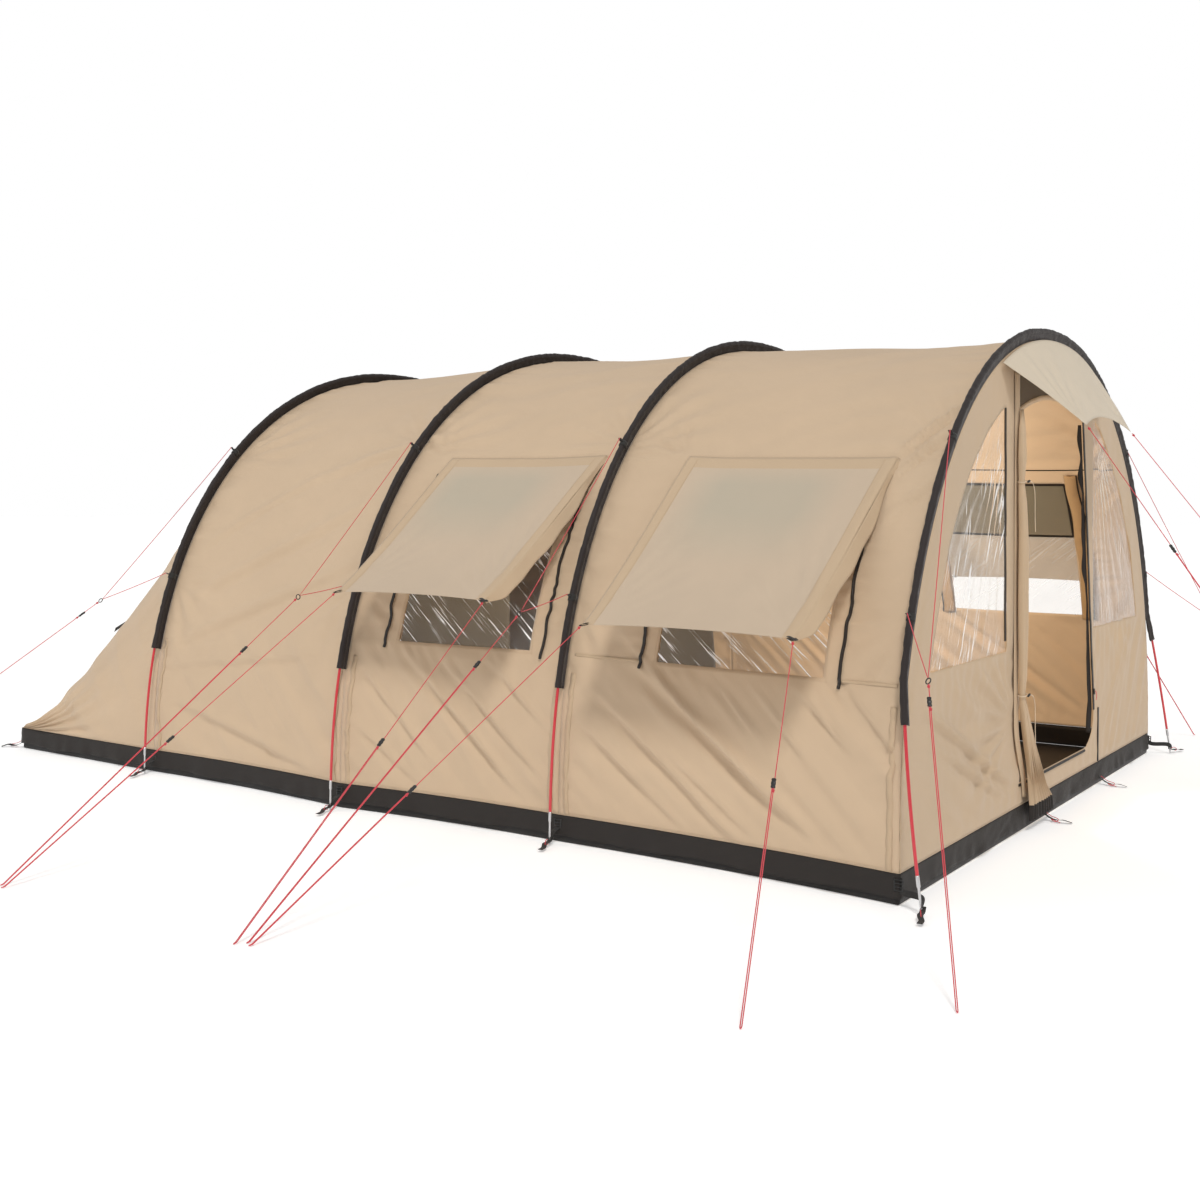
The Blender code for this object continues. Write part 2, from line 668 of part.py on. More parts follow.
def build_skirt(skirt_brown):
    outline = footprint(0.0)
    count = len(outline)
    points = [(x, y, z) for z in (SKIRT_BOTTOM, SKIRT_TOP) for x, y in outline]
    faces = [(k, k + count, (k + 1) % count + count, (k + 1) % count) for k in range(count)]
    give_thickness(make_solid("fly_skirt", points, faces, skirt_brown), CLOTH)


def build_groundsheet(tub_black):
    """The floor and the low rim turned up round it, inside the skirt."""
    outline = footprint(CLOTH + TUB_GAP)
    count = len(outline)
    points = [(x, y, z) for z in (0.0, TUB_RIM) for x, y in outline]
    faces = [(k, k + count, (k + 1) % count + count, (k + 1) % count) for k in range(count)]
    faces.append(tuple(range(count)))
    give_thickness(make_solid("groundsheet", points, faces, tub_black), CLOTH)


# ================================================================ guy lines and tensioners
def line_curve(name, points, material):
    """A cord along points, as a round curve with closed ends."""
    curve = bpy.data.curves.new(name, "CURVE")
    curve.dimensions = "3D"
    curve.bevel_depth = LINE_RADIUS
    curve.bevel_resolution = 2
    curve.use_fill_caps = True
    spline = curve.splines.new("POLY")
    spline.points.add(len(points) - 1)
    for point, place in zip(spline.points, points):
        point.co = (*to_tent_frame(place), 1.0)
    curve.materials.append(material)
    made = bpy.data.objects.new(name, curve)
    bpy.context.scene.collection.objects.link(made)
    return made


def straight_points(start, end):
    return [start.lerp(end, k / (LINE_POINTS - 1)) for k in range(LINE_POINTS)]


def as_mesh(made):
    """Swaps a curve object for a mesh object of the same name and shape."""
    graph = bpy.context.evaluated_depsgraph_get()
    mesh = bpy.data.meshes.new_from_object(made.evaluated_get(graph))
    name = made.name
    bpy.data.objects.remove(made)
    meshed = bpy.data.objects.new(name, mesh)
    bpy.context.scene.collection.objects.link(meshed)
    return meshed


def forked_line(name, upper, ring, lower, peg, material):
    """A hoop's guy line: a bridle from the upper tab through the ring to the lower tab, and the
    main line from the ring to the peg, joined into one solid."""
    main = as_mesh(line_curve(name, straight_points(ring, peg), material))
    bridle = as_mesh(line_curve(name + "_bridle", [upper, ring, lower], material))
    bridle.hide_render = True
    bridle.hide_set(True)
    bridle.display_type = "WIRE"
    join = main.modifiers.new("join", "BOOLEAN")
    join.operation = "UNION"
    join.solver = "EXACT"
    join.object = bridle


def hoop_tab(hoop, height, side):
    """Where a line meets the outer edge of a sleeve."""
    half = POLE_RADIUS + SLEEVE_GAP + SLEEVE_WALL + pole_flat(hoop)
    angle = turn_at_height(height, HOOP_HEIGHTS[hoop])
    point = hoop_offset_point(hoop, angle, -half - LINE_OFF_SLEEVE - LINE_RADIUS)
    point.y *= -side
    return point


def tensioner(name, start, towards, distance, material):
    """A slider bored for its line, at a distance from start on the way to another place."""
    direction = (towards - start).normalized()
    centre = start + direction * distance
    flat = direction.cross(Vector((0.0, 0.0, 1.0))).normalized()
    thin = direction.cross(flat)
    outer, bore = [], []
    for end in (-1, 1):
        middle = centre + direction * (end * TENSIONER_LENGTH / 2)
        outer_ring, bore_ring = [], []
        for s in range(POLE_SIDES):
            turn = 2 * math.pi * (s + 0.5) / POLE_SIDES
            wide, deep = math.cos(turn), math.sin(turn)
            outer_ring.append(middle + flat * (wide * TENSIONER_WIDTH / 2) + thin * (deep * TENSIONER_THICKNESS / 2))
            bore_ring.append(middle + (flat * wide + thin * deep) * TENSIONER_BORE)
        outer.append(outer_ring)
        bore.append(bore_ring)
    made = swept_solid(name, outer, material, bore)
    move_origin(made, centre)


def build_hoop_guys(line_red, slider_black):
    for side_name, side in (("near", -1), ("far", 1)):
        for hoop, name in enumerate(HOOP_NAMES):
            along, across, pull, ring_share = HOOP_GUYS[side_name][hoop]
            peg = Vector((HOOP_ALONG[hoop] + along, across, PEG_LOOP_HEIGHT))
            upper = hoop_tab(hoop, UPPER_GUY_HEIGHT, side)
            lower = hoop_tab(hoop, LOWER_GUY_HEIGHT, side)
            ring = upper.lerp(lower, pull).lerp(peg, ring_share)
            forked_line("guy_" + name + "_" + side_name, upper, ring, lower, peg, line_red)
            if side_name == "near":
                tensioner("tensioner_" + name, ring, peg, HOOP_TENSIONER_FROM_RING[hoop], slider_black)


def build_awning_lines(line_red, slider_black):
    for side_name, side in (("near", -1), ("far", 1)):
        for hoop, (name, pegs) in enumerate(AWNING_PEGS[side_name].items()):
            for k, place in enumerate(("right", "left")):
                corner = Vector((AWNING_CORNERS_ALONG[name][k], side * (AWNING_CORNER_OUT + CLOTH),
                                 AWNING_CORNER_HEIGHTS[name]))
                peg = Vector((HOOP_ALONG[hoop] + pegs[k][0], pegs[k][1], PEG_LOOP_HEIGHT))
                start = corner + (peg - corner).normalized() * 4 * CLOTH
                line_curve(f"line_awning_{name}_{place}_{side_name}", straight_points(start, peg), line_red)
                if side_name == "near":
                    distance = AWNING_TENSIONER_FROM_CORNER[name][k]
                    tensioner(f"tensioner_awning_{name}_{place}", start, peg, distance, slider_black)


def build_visor_lines(line_red, slider_black):
    reach, half, height = VISOR_CORNER
    for name, side in (("near", -1), ("far", 1)):
        corner = Vector((reach, side * half, height))
        peg = Vector((VISOR_PEG[0], side * VISOR_PEG[1], PEG_LOOP_HEIGHT))
        start = corner + (peg - corner).normalized() * 4 * CLOTH
        line_curve("line_visor_" + name, straight_points(start, peg), line_red)
        tensioner("tensioner_visor_" + name, start, peg, VISOR_TENSIONER_FROM_CORNER, slider_black)


# ================================================================ the whole tent
def clear_scene():
    for old in list(bpy.data.objects):
        bpy.data.objects.remove(old)


def build_tent():
    clear_scene()
    sand = make_material("sand_polyester", (0.62, 0.49, 0.34), 0.75)
    sleeve_brown = make_material("brown_sleeve_cloth", (0.036, 0.026, 0.024), 0.80)
    skirt_brown = make_material("brown_skirt_cloth", (0.045, 0.033, 0.028), 0.80)
    tub_black = make_material("black_groundsheet", (0.018, 0.016, 0.015), 0.70)
    vent_brown = make_material("brown_vent_mesh", (0.030, 0.024, 0.020), 0.85)
    clear = make_material("clear_pvc", (0.72, 0.70, 0.66), 0.15)
    mesh_and_clear = make_material("window_pane", (0.45, 0.42, 0.36), 0.30)
    pole_red = make_material("red_fibreglass", (0.55, 0.03, 0.05), 0.35)
    line_red = make_material("red_cord", (0.60, 0.04, 0.06), 0.70)
    slider_black = make_material("black_plastic", (0.02, 0.02, 0.02), 0.45)
    metal = make_material("zip_metal", (0.35, 0.33, 0.30), 0.35, 0.9)
    cabin_olive = make_material("cabin_cloth", (0.075, 0.062, 0.042), 0.85)

    build_poles_and_sleeves(pole_red, sleeve_brown)
    build_fly(sand, mesh_and_clear)
    build_tail(sand, vent_brown)
    build_awnings(sand)
    build_visor(sand)
    build_front_wall(sand, clear, vent_brown)
    build_cabin_wall(cabin_olive)
    build_rolled_door(sand)
    build_zip_slider(metal)
    build_skirt(skirt_brown)
    build_groundsheet(tub_black)
    build_hoop_guys(line_red, slider_black)
    build_awning_lines(line_red, slider_black)
    build_visor_lines(line_red, slider_black)


build_tent()
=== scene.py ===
"""Looks of the four-hoop tunnel tent: cloth panels with their folds, clear panes, sleeves, zips,
webbing and guy lines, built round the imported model. Metres, +Z up, +X out of the door, near side -Y.

Cloth is laid out in two flat coordinates: x along the tent, and girth, the way round the tent's
section from the ground on the near side, over the roof, to the ground on the far side.
"""

import json
import math

import bmesh
import bpy
import numpy as np
from mathutils import Matrix, Vector
from mathutils.geometry import delaunay_2d_cdt


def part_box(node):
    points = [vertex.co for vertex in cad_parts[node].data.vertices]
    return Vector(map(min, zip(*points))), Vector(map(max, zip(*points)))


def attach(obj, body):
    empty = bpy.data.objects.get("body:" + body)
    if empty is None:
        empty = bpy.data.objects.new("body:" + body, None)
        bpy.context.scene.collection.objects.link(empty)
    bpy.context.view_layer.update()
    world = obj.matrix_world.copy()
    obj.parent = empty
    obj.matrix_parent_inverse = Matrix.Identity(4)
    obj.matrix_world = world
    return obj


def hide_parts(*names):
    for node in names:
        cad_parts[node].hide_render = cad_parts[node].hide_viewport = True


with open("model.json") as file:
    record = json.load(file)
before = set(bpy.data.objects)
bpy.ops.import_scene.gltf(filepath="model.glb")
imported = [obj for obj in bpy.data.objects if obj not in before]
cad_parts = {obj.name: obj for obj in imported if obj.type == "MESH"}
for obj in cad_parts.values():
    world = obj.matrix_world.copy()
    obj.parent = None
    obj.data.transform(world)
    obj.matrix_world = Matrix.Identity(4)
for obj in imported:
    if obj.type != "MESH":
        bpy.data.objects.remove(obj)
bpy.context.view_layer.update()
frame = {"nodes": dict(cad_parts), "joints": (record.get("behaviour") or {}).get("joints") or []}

# ---------------------------------------------------------------- the frame's hoops
HOOPS = ("front", "second", "third", "rear")
POLE_RADIUS = 0.0055
POLE_FACET = POLE_RADIUS * math.cos(math.pi / 8)
SIDE_FULLNESS = 2.13
TOP_FULLNESS = 2.25
FRONT_FEET_FORWARD = 0.096
TIP_LENGTH = 0.090
FORWARD_BEND_HEIGHT = 0.70
SLEEVE_END_HEIGHT = 0.565
SLEEVE_RADIUS = 0.013
SLEEVE_FIN = 0.031

# ---------------------------------------------------------------- cloth
FLY_BELOW_POLE = 0.034
FOOT_TUCK = 0.020
WALL_SAG = 0.022
ROOF_SAG = 0.014
HEM_HEIGHT = 0.101
CLOTH = 0.0009
CELL = 0.015
STEP = 0.002

# ---------------------------------------------------------------- windows and awnings of the side walls
WINDOW_SILL = 0.690
WINDOW_RAIL = 1.100
WINDOW_TOP = 1.360
ZIP_FROM_WINDOW = 0.065
WINDOW_EDGES = {"front": (0.300, 0.955), "middle": (1.520, 2.150)}
AWNING_HINGE = {"front": (0.190, 1.038), "middle": (1.417, 2.192)}
AWNING_CORNERS = {"front": (0.270, 1.075), "middle": (1.510, 2.257)}
AWNING_HINGE_HEIGHT = 1.430
AWNING_OUT = 1.762
AWNING_HEIGHT = {"front": 0.828, "middle": 0.890}
AWNING_SAG = 0.025
AWNING_DEPTH = 0.68
AWNING_HEM = 0.046

# ---------------------------------------------------------------- front wall
DOOR_LEFT = -0.430
DOOR_RIGHT_LOW = 0.600
DOOR_RIGHT_HIGH = 0.400
DOOR_SILL = 0.190
DOOR_HEAD = 1.590
DOOR_RISE = 0.070
DOOR_CORNER = 0.150
PANE_FROM_HOOP = 0.200
PANE_INNER = 0.580
PANE_SILL = 0.700
PANE_HEAD = 1.600
VENT_CLEAR = 0.020
VENT_HEAD = 1.790
VISOR_HALF_WIDTH = 0.660
VISOR_CORNER_OUT = 0.222
VISOR_CORNER_ACROSS = 0.324
VISOR_CORNER_HEIGHT = 1.543
VISOR_EDGE_RISE = 0.045
VISOR_OFF_WALL = 0.016
VISOR_WIDTH = 1.5
VISOR_DEPTH = 0.42

# ---------------------------------------------------------------- inside and behind
CABIN_BEHIND_HOOP = 0.060
CABIN_INSET = 0.120
CABIN_DOOR_HALF = 0.450
CABIN_DOOR_SILL = 0.200
CABIN_DOOR_HEAD = 1.500
TAIL_HALF_WIDTH = 1.586
TAIL_SPREAD = 2.2
TAIL_LENGTH = 1.3
VENT_ACROSS = (-1.200, -0.930)
VENT_SHARE = (0.64, 0.73)

SKIRT_BOTTOM = 0.022
SKIRT_TOP = 0.100

# ---------------------------------------------------------------- lines and what is on them
LINE_DIAMETER = 0.003
LINE_OFF_SLEEVE = 0.018
UPPER_GUY_HEIGHT = 1.470
LOWER_GUY_HEIGHT = 0.890
PEG_LOOP_HEIGHT = 0.004
PEG_LOOP_REACH = 0.030
STRAND_GAP = 0.0045
# For each hoop: the peg's place behind the front hoop and across, how far down from the upper tab to
# the lower one the line pulls, and the ring's share of the way to the peg.
HOOP_GUYS = {
    "near": ((-0.465, -2.316, 0.76, 0.309), (1.370, -2.963, 0.59, 0.259),
             (2.470, -3.030, 0.55, 0.261), (4.670, -2.330, 0.75, 0.266)),
    "far": ((-0.760, 2.250, 0.76, 0.370), (1.370, 2.290, 0.59, 0.450),
            (2.470, 2.290, 0.55, 0.450), (4.600, 2.250, 0.75, 0.370)),
}
AWNING_PEGS = {
    "near": {"front": ((-0.077, -2.712), (1.345, -2.975)), "middle": ((1.395, -2.990), (2.440, -3.045))},
    "far": {"front": ((-0.077, 2.250), (1.345, 2.275)), "middle": ((1.395, 2.275), (2.440, 2.275))},
}
VISOR_PEG = (-1.340, 0.640)
HOOP_TENSIONER_FROM_RING = (0.066, 0.263, 0.309, 0.096)
AWNING_TENSIONER_FROM_CORNER = {"front": (0.558, 0.832), "middle": (0.712, 0.852)}
VISOR_TENSIONER_FROM_CORNER = 0.560
FAR_TENSIONER_SHARE = 0.45

SIDES = {"near": -1, "far": 1}

# ---------------------------------------------------------------- the camera, its turns in degrees
CAMERA_PLACE = (3.8925, -5.628, 1.275)
CAMERA_YAW = 34.43
CAMERA_PITCH = 0.1
CAMERA_ROLL = 0.23
CAMERA_SENSOR = 36.0
CAMERA_LENS = 41.55
CAMERA_SHIFT = (-0.0083, -0.09)


# ================================================================ the tent's curves
def hoop_facts():
    """x, half width and height of each pole's centre line, read from its node."""
    facts = []
    for name in HOOPS:
        low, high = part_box("pole_" + name)
        facts.append((low.x + POLE_FACET, high.y - POLE_FACET, high.z - POLE_FACET))
    return np.array(facts).T


HOOP_X, HOOP_HALF, HOOP_TOP = hoop_facts()
TAIL_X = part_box("fly_tail")[0].x + CLOTH


def behind_front(distance):
    """x at a distance behind the front hoop."""
    return HOOP_X[0] - distance


def arch(half, top, angle):
    """Across and height on a hoop-shaped curve; angle runs from 0 at the near foot to pi."""
    cosine, sine = np.cos(angle), np.clip(np.sin(angle), 0.0, None)
    across = -half * np.sign(cosine) * np.abs(cosine) ** (2 / SIDE_FULLNESS)
    return across, top * sine ** (2 / TOP_FULLNESS)


def angle_at_height(height, top):
    return np.arcsin(np.clip(height / top, 0.0, 1.0) ** (TOP_FULLNESS / 2))


def girth_table():
    """Angles and the lengths of cloth up to them, on a hoop of the middle size."""
    angles = np.linspace(0.0, math.pi, 4001)
    across, height = arch(HOOP_HALF.mean() - FLY_BELOW_POLE, HOOP_TOP.mean() - FLY_BELOW_POLE, angles)
    steps = np.hypot(np.diff(across), np.diff(height))
    return angles, np.concatenate([[0.0], np.cumsum(steps)])


ANGLES, GIRTHS = girth_table()
GIRTH = GIRTHS[-1]


def angle_of(girth):
    return np.interp(girth, GIRTHS, ANGLES)


def girth_at(height):
    """Girth on the near side at a height above the ground."""
    return float(np.interp(angle_at_height(height, HOOP_TOP[0]), ANGLES, GIRTHS))


def fly_base(x, girth):
    """Points of the fly before its folds."""
    order = slice(None, None, -1)
    half = np.interp(x, HOOP_X[order], HOOP_HALF[order])
    top = np.interp(x, HOOP_X[order], HOOP_TOP[order])
    sag = bay_sag(x)
    across, height = arch(half - FLY_BELOW_POLE - WALL_SAG * sag, top - FLY_BELOW_POLE - ROOF_SAG * sag,
                          angle_of(girth))
    tuck = FOOT_TUCK * np.clip(1.0 - height / SLEEVE_END_HEIGHT, 0.0, None)
    across = across - np.sign(across) * tuck
    return np.stack([x, across, np.maximum(height, HEM_HEIGHT)], axis=-1)


def bay_sag(x):
    """0 at the hoops and 1 halfway between two of them."""
    sag = np.zeros_like(x)
    for front, rear in zip(HOOP_X[:-1], HOOP_X[1:]):
        share = np.clip((front - x) / (front - rear), 0.0, 1.0)
        sag += 4 * share * (1 - share)
    return sag


def normals_of(base, x, girth):
    """Outward unit normals of a surface given as a function of x and girth."""
    along = base(x + STEP, girth) - base(x - STEP, girth)
    around = base(x, girth + STEP) - base(x, girth - STEP)
    normal = np.cross(along, around)
    return normal / np.maximum(np.linalg.norm(normal, axis=-1, keepdims=True), 1e-9)


# ================================================================ folds in cloth
def knots(seed, count):
    return np.random.default_rng(seed).uniform(-1.0, 1.0, count)


def wander(values, step, seed):
    """Smooth noise from -1 to 1 along one coordinate, with a knot every step."""
    table = knots(seed, 512)
    place = values / step
    low = np.floor(place).astype(int)
    share = place - low
    share = share * share * (3 - 2 * share)
    return table[low % 512] * (1 - share) + table[(low + 1) % 512] * share


def ripples(u, v, seed):
    """Smooth noise from -1 to 1 over two coordinates, with knots a unit apart."""
    size = 128
    table = knots(seed, size * size).reshape(size, size)
    i, j = np.floor(u).astype(int), np.floor(v).astype(int)
    a, b = u - i, v - j
    a, b = a * a * (3 - 2 * a), b * b * (3 - 2 * b)
    rows = [table[(i + di) % size, (j + dj) % size] for di in (0, 1) for dj in (0, 1)]
    return (rows[0] * (1 - b) + rows[1] * b) * (1 - a) + (rows[2] * (1 - b) + rows[3] * b) * a


def ramp(values, low, high):
    """0 below low and 1 above high, smooth between them."""
    share = np.clip((values - low) / (high - low), 0.0, 1.0)
    return share * share * (3 - 2 * share)


def between(values, low, high, soft):
    return ramp(values, low - soft, low + soft) * (1 - ramp(values, high - soft, high + soft))


def crease(u, v, start, end, width, height):
    """One fold on the straight line from start to end: a ridge with a valley below it."""
    du, dv = end[0] - start[0], end[1] - start[1]
    length = math.hypot(du, dv)
    share = ((u - start[0]) * du + (v - start[1]) * dv) / length ** 2
    aside = ((u - start[0]) * dv - (v - start[1]) * du) / length
    aside = aside + 0.25 * width * np.sin(5 * share)
    fade = np.sin(math.pi * np.clip(share, 0.0, 1.0)) ** 0.7
    ridge = np.exp(-(aside / width) ** 2)
    valley = np.exp(-((aside - 1.7 * width) / (1.2 * width)) ** 2)
    return height * fade * (ridge - 0.8 * valley)


def folds_along(u, v, slant, long, short, height, seed):
    """A field of long folds that all run at one slant, in degrees from u towards v."""
    turn = math.radians(slant)
    along = u * math.cos(turn) + v * math.sin(turn)
    aside = -u * math.sin(turn) + v * math.cos(turn)
    bend = 0.25 * wander(along, 0.45, seed + 7) * short * 3
    field = ripples(along / long, (aside + bend) / short, seed)
    crest = 1.0 - 2.0 * np.abs(ripples(along / (1.3 * long) + 9.3, (aside + bend) / (1.6 * short), seed + 1))
    return height * (0.65 * field + 0.35 * crest)


def fan(u, v, centre, middle, spread, count, reach, height, seed):
    """Folds that leave one point, spread about the direction middle, in degrees."""
    du, dv = u - centre[0], v - centre[1]
    away = np.hypot(du, dv)
    turn = np.degrees(np.arctan2(dv, du)) - middle
    turn = (turn + 180) % 360 - 180
    wave = np.sin(turn / spread * count * math.pi + 1.1 * wander(away, 0.30, seed))
    wave = wave * (0.7 + 0.3 * wander(turn, 0.31 * spread, seed + 3))
    grow = np.clip(away / (0.30 * reach), 0.0, 1.0) * (1 - ramp(away, 0.35 * reach, reach))
    return height * wave * grow * (1 - ramp(np.abs(turn), 0.6 * spread, spread))


def gathers(distance, along, pitch, reach, height, seed):
    """Short puckers that stand square to a seam and die away from it."""
    phase = 2 * math.pi * along / pitch + 4.0 * wander(along, 3.1 * pitch, seed)
    strength = 0.45 + 0.55 * wander(along, 4.7 * pitch, seed + 1)
    fade = np.exp(-np.maximum(distance, 0.0) / (reach * (0.8 + 0.4 * wander(along, 2.3 * pitch, seed + 2))))
    return height * strength * np.sin(phase) * fade * ramp(distance, 0.0, 0.012)


FOLD_DEPTH = 1.9
# Single folds of the near wall, as start and end (x, height), width and height.
NEAR_CREASES = (
    ((1.14, 0.70), (1.92, 0.17), 0.020, 0.0150), ((0.96, 0.60), (1.70, 0.06), 0.015, 0.0075),
    ((1.08, 0.78), (1.52, 0.44), 0.010, 0.0055), ((0.93, 0.46), (1.45, 0.10), 0.014, 0.0060),
    ((1.46, 0.67), (1.70, 0.46), 0.009, 0.0050), ((1.62, 0.66), (1.88, 0.42), 0.010, 0.0055),
    ((1.80, 0.66), (2.05, 0.45), 0.009, 0.0050), ((2.00, 0.67), (2.19, 0.48), 0.008, 0.0045),
    ((1.30, 0.40), (1.72, 0.12), 0.012, 0.0050), ((0.08, 0.67), (0.74, 0.12), 0.014, 0.0085),
    ((0.24, 0.66), (0.84, 0.20), 0.012, 0.0065), ((-0.14, 0.60), (0.30, 0.22), 0.012, 0.0060),
    ((0.48, 0.66), (0.88, 0.36), 0.010, 0.0050), ((-0.16, 0.38), (0.26, 0.11), 0.012, 0.0050),
    ((1.98, 1.41), (2.22, 1.66), 0.011, 0.0090), ((2.00, 1.35), (2.22, 1.57), 0.010, 0.0080),
    ((2.02, 1.20), (2.22, 1.40), 0.012, 0.0060), ((0.02, 1.05), (0.20, 1.30), 0.012, 0.0060),
    ((-1.34, 0.60), (-0.20, 1.02), 0.022, 0.0080), ((-1.30, 0.80), (-0.26, 1.28), 0.024, 0.0070),
    ((-1.34, 0.36), (-0.25, 0.12), 0.020, 0.0070), ((-0.90, 1.32), (0.00, 1.56), 0.024, 0.0060),
    ((-1.36, 0.50), (-0.30, 0.62), 0.014, 0.0050), ((-1.30, 1.05), (-0.70, 1.40), 0.016, 0.0050),
)


def fly_folds(x, girth):
    """How far the fly stands out from its base, with seams, gathers and folds."""
    near = girth < GIRTH / 2
    up = np.where(near, girth, GIRTH - girth)
    sill, top = girth_at(WINDOW_SILL), girth_at(WINDOW_TOP)
    hinge = girth_at(AWNING_HINGE_HEIGHT)
    side = np.where(near, 0, 11)
    low_wall = between(up, 0.12, sill, 0.05)
    high_wall = ramp(up, sill - 0.05, hinge + 0.1)
    roof = ramp(up, 1.55, 2.1)

    out = low_wall * folds_along(x, up, -42, 0.62, 0.055, 0.0100, 5)
    out += low_wall * folds_along(x, up, -47, 0.35, 0.026, 0.0036, 6)
    out += high_wall * (1 - roof) * folds_along(x, up, 30, 0.75, 0.080, 0.0065, 8)
    out += roof * folds_along(x, up, 12, 1.10, 0.120, 0.0080, 9)
    out += folds_along(x, up + 0.13 * side, 75, 0.9, 0.22, 0.0060, 10)

    for number, (front, rear) in enumerate(zip(HOOP_X[:-1], HOOP_X[1:])):
        bay = (x <= front) & (x > rear)
        pull = np.zeros_like(x)
        for distance, seed in ((front - x, 20), (x - rear, 30)):
            pull += gathers(distance, girth, 0.060, 0.070, 0.0060, seed + number)
            pull += gathers(distance, girth, 0.135, 0.18, 0.0070, seed + number + 5)
        for corner_x, turn, seed in ((front, 150, 41), (rear, 30, 42)):
            pull += fan(x, up, (corner_x, girth_at(UPPER_GUY_HEIGHT)), turn, 60, 5, 0.62, 0.0070,
                        seed + number)
            pull += fan(x, up, (corner_x, girth_at(LOWER_GUY_HEIGHT)), -turn, 55, 4, 0.50, 0.0060,
                        seed + number)
        pull += gathers(up - 0.10, x, 0.085, 0.080, 0.0045, 50 + number)
        out += np.where(bay, pull, 0.0)

    for name, edges in WINDOW_EDGES.items():
        front, rear = behind_front(edges[0]), behind_front(edges[1])
        beside = between(up, sill, top + 0.05, 0.03)
        under = between(x, rear - 0.10, front + 0.10, 0.04)
        ahead = beside * gathers(np.abs(x - front - ZIP_FROM_WINDOW), up, 0.047, 0.07, 0.0075, 61)
        out += ahead * between(x, front, front + 0.2, 0.01)
        behind = beside * gathers(np.abs(rear - ZIP_FROM_WINDOW - x), up, 0.052, 0.07, 0.0070, 62)
        out += behind * between(x, rear - 0.2, rear, 0.01)
        below = under * gathers(np.maximum(sill - up, 0.0), x - 0.8 * (sill - up), 0.070, 0.11, 0.0085, 63)
        out += below * (up < sill)
        corner = behind_front(AWNING_HINGE[name][0])
        out += fan(x, up, (corner, hinge), 25, 42, 5, 0.36, 0.0090, 64)
        out += fan(x, up, (behind_front(AWNING_HINGE[name][1]), hinge), 140, 40, 4, 0.34, 0.0070, 65)

    for start, end, width, height in NEAR_CREASES:
        begin, finish = (start[0], girth_at(start[1])), (end[0], girth_at(end[1]))
        out += np.where(near, 1.0, 0.7) * crease(x, up, begin, finish, width, FOLD_DEPTH * height)

    held = np.ones_like(x)
    for hoop_x in HOOP_X:
        held = held * ramp(np.abs(x - hoop_x), 0.0, 0.030)
    for edges in WINDOW_EDGES.values():
        front, rear = behind_front(edges[0]), behind_front(edges[1])
        gap = np.maximum(np.maximum(x - front, rear - x), np.maximum(up - top, sill - up))
        held = held * np.where(gap < 0.05, 0.25 + 0.75 * ramp(gap, 0.0, 0.05), 1.0)
    for front, rear in AWNING_HINGE.values():
        beside = between(x, behind_front(rear), behind_front(front), 0.01)
        held = held * (1 - 0.85 * beside * between(up, top - 0.05, hinge + 0.01, 0.03))
    return out * held * ramp(up, 0.085, 0.16)


def fly_surface(x, girth, raised=0.0):
    """Points on the folded fly, raised above it."""
    x, girth = np.broadcast_arrays(np.asarray(x, float), np.asarray(girth, float))
    out = fly_folds(x, girth) + raised
    return fly_base(x, girth) + normals_of(fly_base, x, girth) * out[..., None]


def wall_girth(height, side):
    """Girth at a height on the near (-1) or far (1) wall."""
    girth = np.interp(angle_at_height(np.asarray(height, float), HOOP_TOP[0]), ANGLES, GIRTHS)
    return girth if side < 0 else GIRTH - girth


# ================================================================ meshes
def link(made):
    bpy.context.scene.collection.objects.link(made)
    return made


def set_flat(mesh, uv):
    """Gives each point of a mesh its flat coordinate on the cloth, in metres."""
    corner = np.zeros(len(mesh.loops), np.int32)
    mesh.loops.foreach_get("vertex_index", corner)
    layer = mesh.uv_layers.new(name="cloth")
    layer.data.foreach_set("uv", np.asarray(uv, np.float32)[corner].ravel())


def new_mesh(name, points, faces, material, uv=None, smooth=True):
    """A mesh object in the row frame; uv holds a flat coordinate for each point, in metres."""
    mesh = bpy.data.meshes.new(name)
    mesh.from_pydata([tuple(p) for p in np.asarray(points, float)], [], [tuple(map(int, f)) for f in faces])
    mesh.materials.append(material)
    if uv is not None:
        set_flat(mesh, uv)
    mesh.polygons.foreach_set("use_smooth", [smooth] * len(mesh.polygons))
    mesh.update()
    return link(bpy.data.objects.new(name, mesh))


def thicken(made, thickness, offset=-1.0):
    solid = made.modifiers.new("thickness", "SOLIDIFY")
    solid.thickness = thickness
    solid.offset = offset
    return made


def stops(breaks, cell):
    """Places from the first break to the last, through every break, at most a cell apart."""
    places = [breaks[0]]
    for low, high in zip(breaks[:-1], breaks[1:]):
        count = max(1, math.ceil(abs(high - low) / cell))
        places += [low + (high - low) * k / count for k in range(1, count + 1)]
    return np.array(places)


def grid_faces(rows, columns, keep=None):
    i, j = np.meshgrid(np.arange(rows - 1), np.arange(columns - 1), indexing="ij")
    if keep is not None:
        i, j = i[keep], j[keep]
    corner = (i * columns + j).ravel()
    return np.stack([corner, corner + 1, corner + columns + 1, corner + columns], axis=1)


def numbered(faces, total):
    """The points that the faces use, and the faces numbered by those points."""
    used = np.unique(faces)
    number = np.zeros(total, int)
    number[used] = np.arange(len(used))
    return used, number[faces]


def grid_sheet(name, points, flat, material, keep=None, flip=False, thickness=CLOTH):
    """A cloth sheet over a grid of points of shape (rows, columns, 3)."""
    rows, columns = points.shape[:2]
    faces = grid_faces(rows, columns, keep)
    if flip:
        faces = faces[:, ::-1]
    used, faces = numbered(faces, rows * columns)
    made = new_mesh(name, points.reshape(-1, 3)[used], faces, material, flat.reshape(-1, 2)[used])
    return thicken(made, thickness) if thickness else made


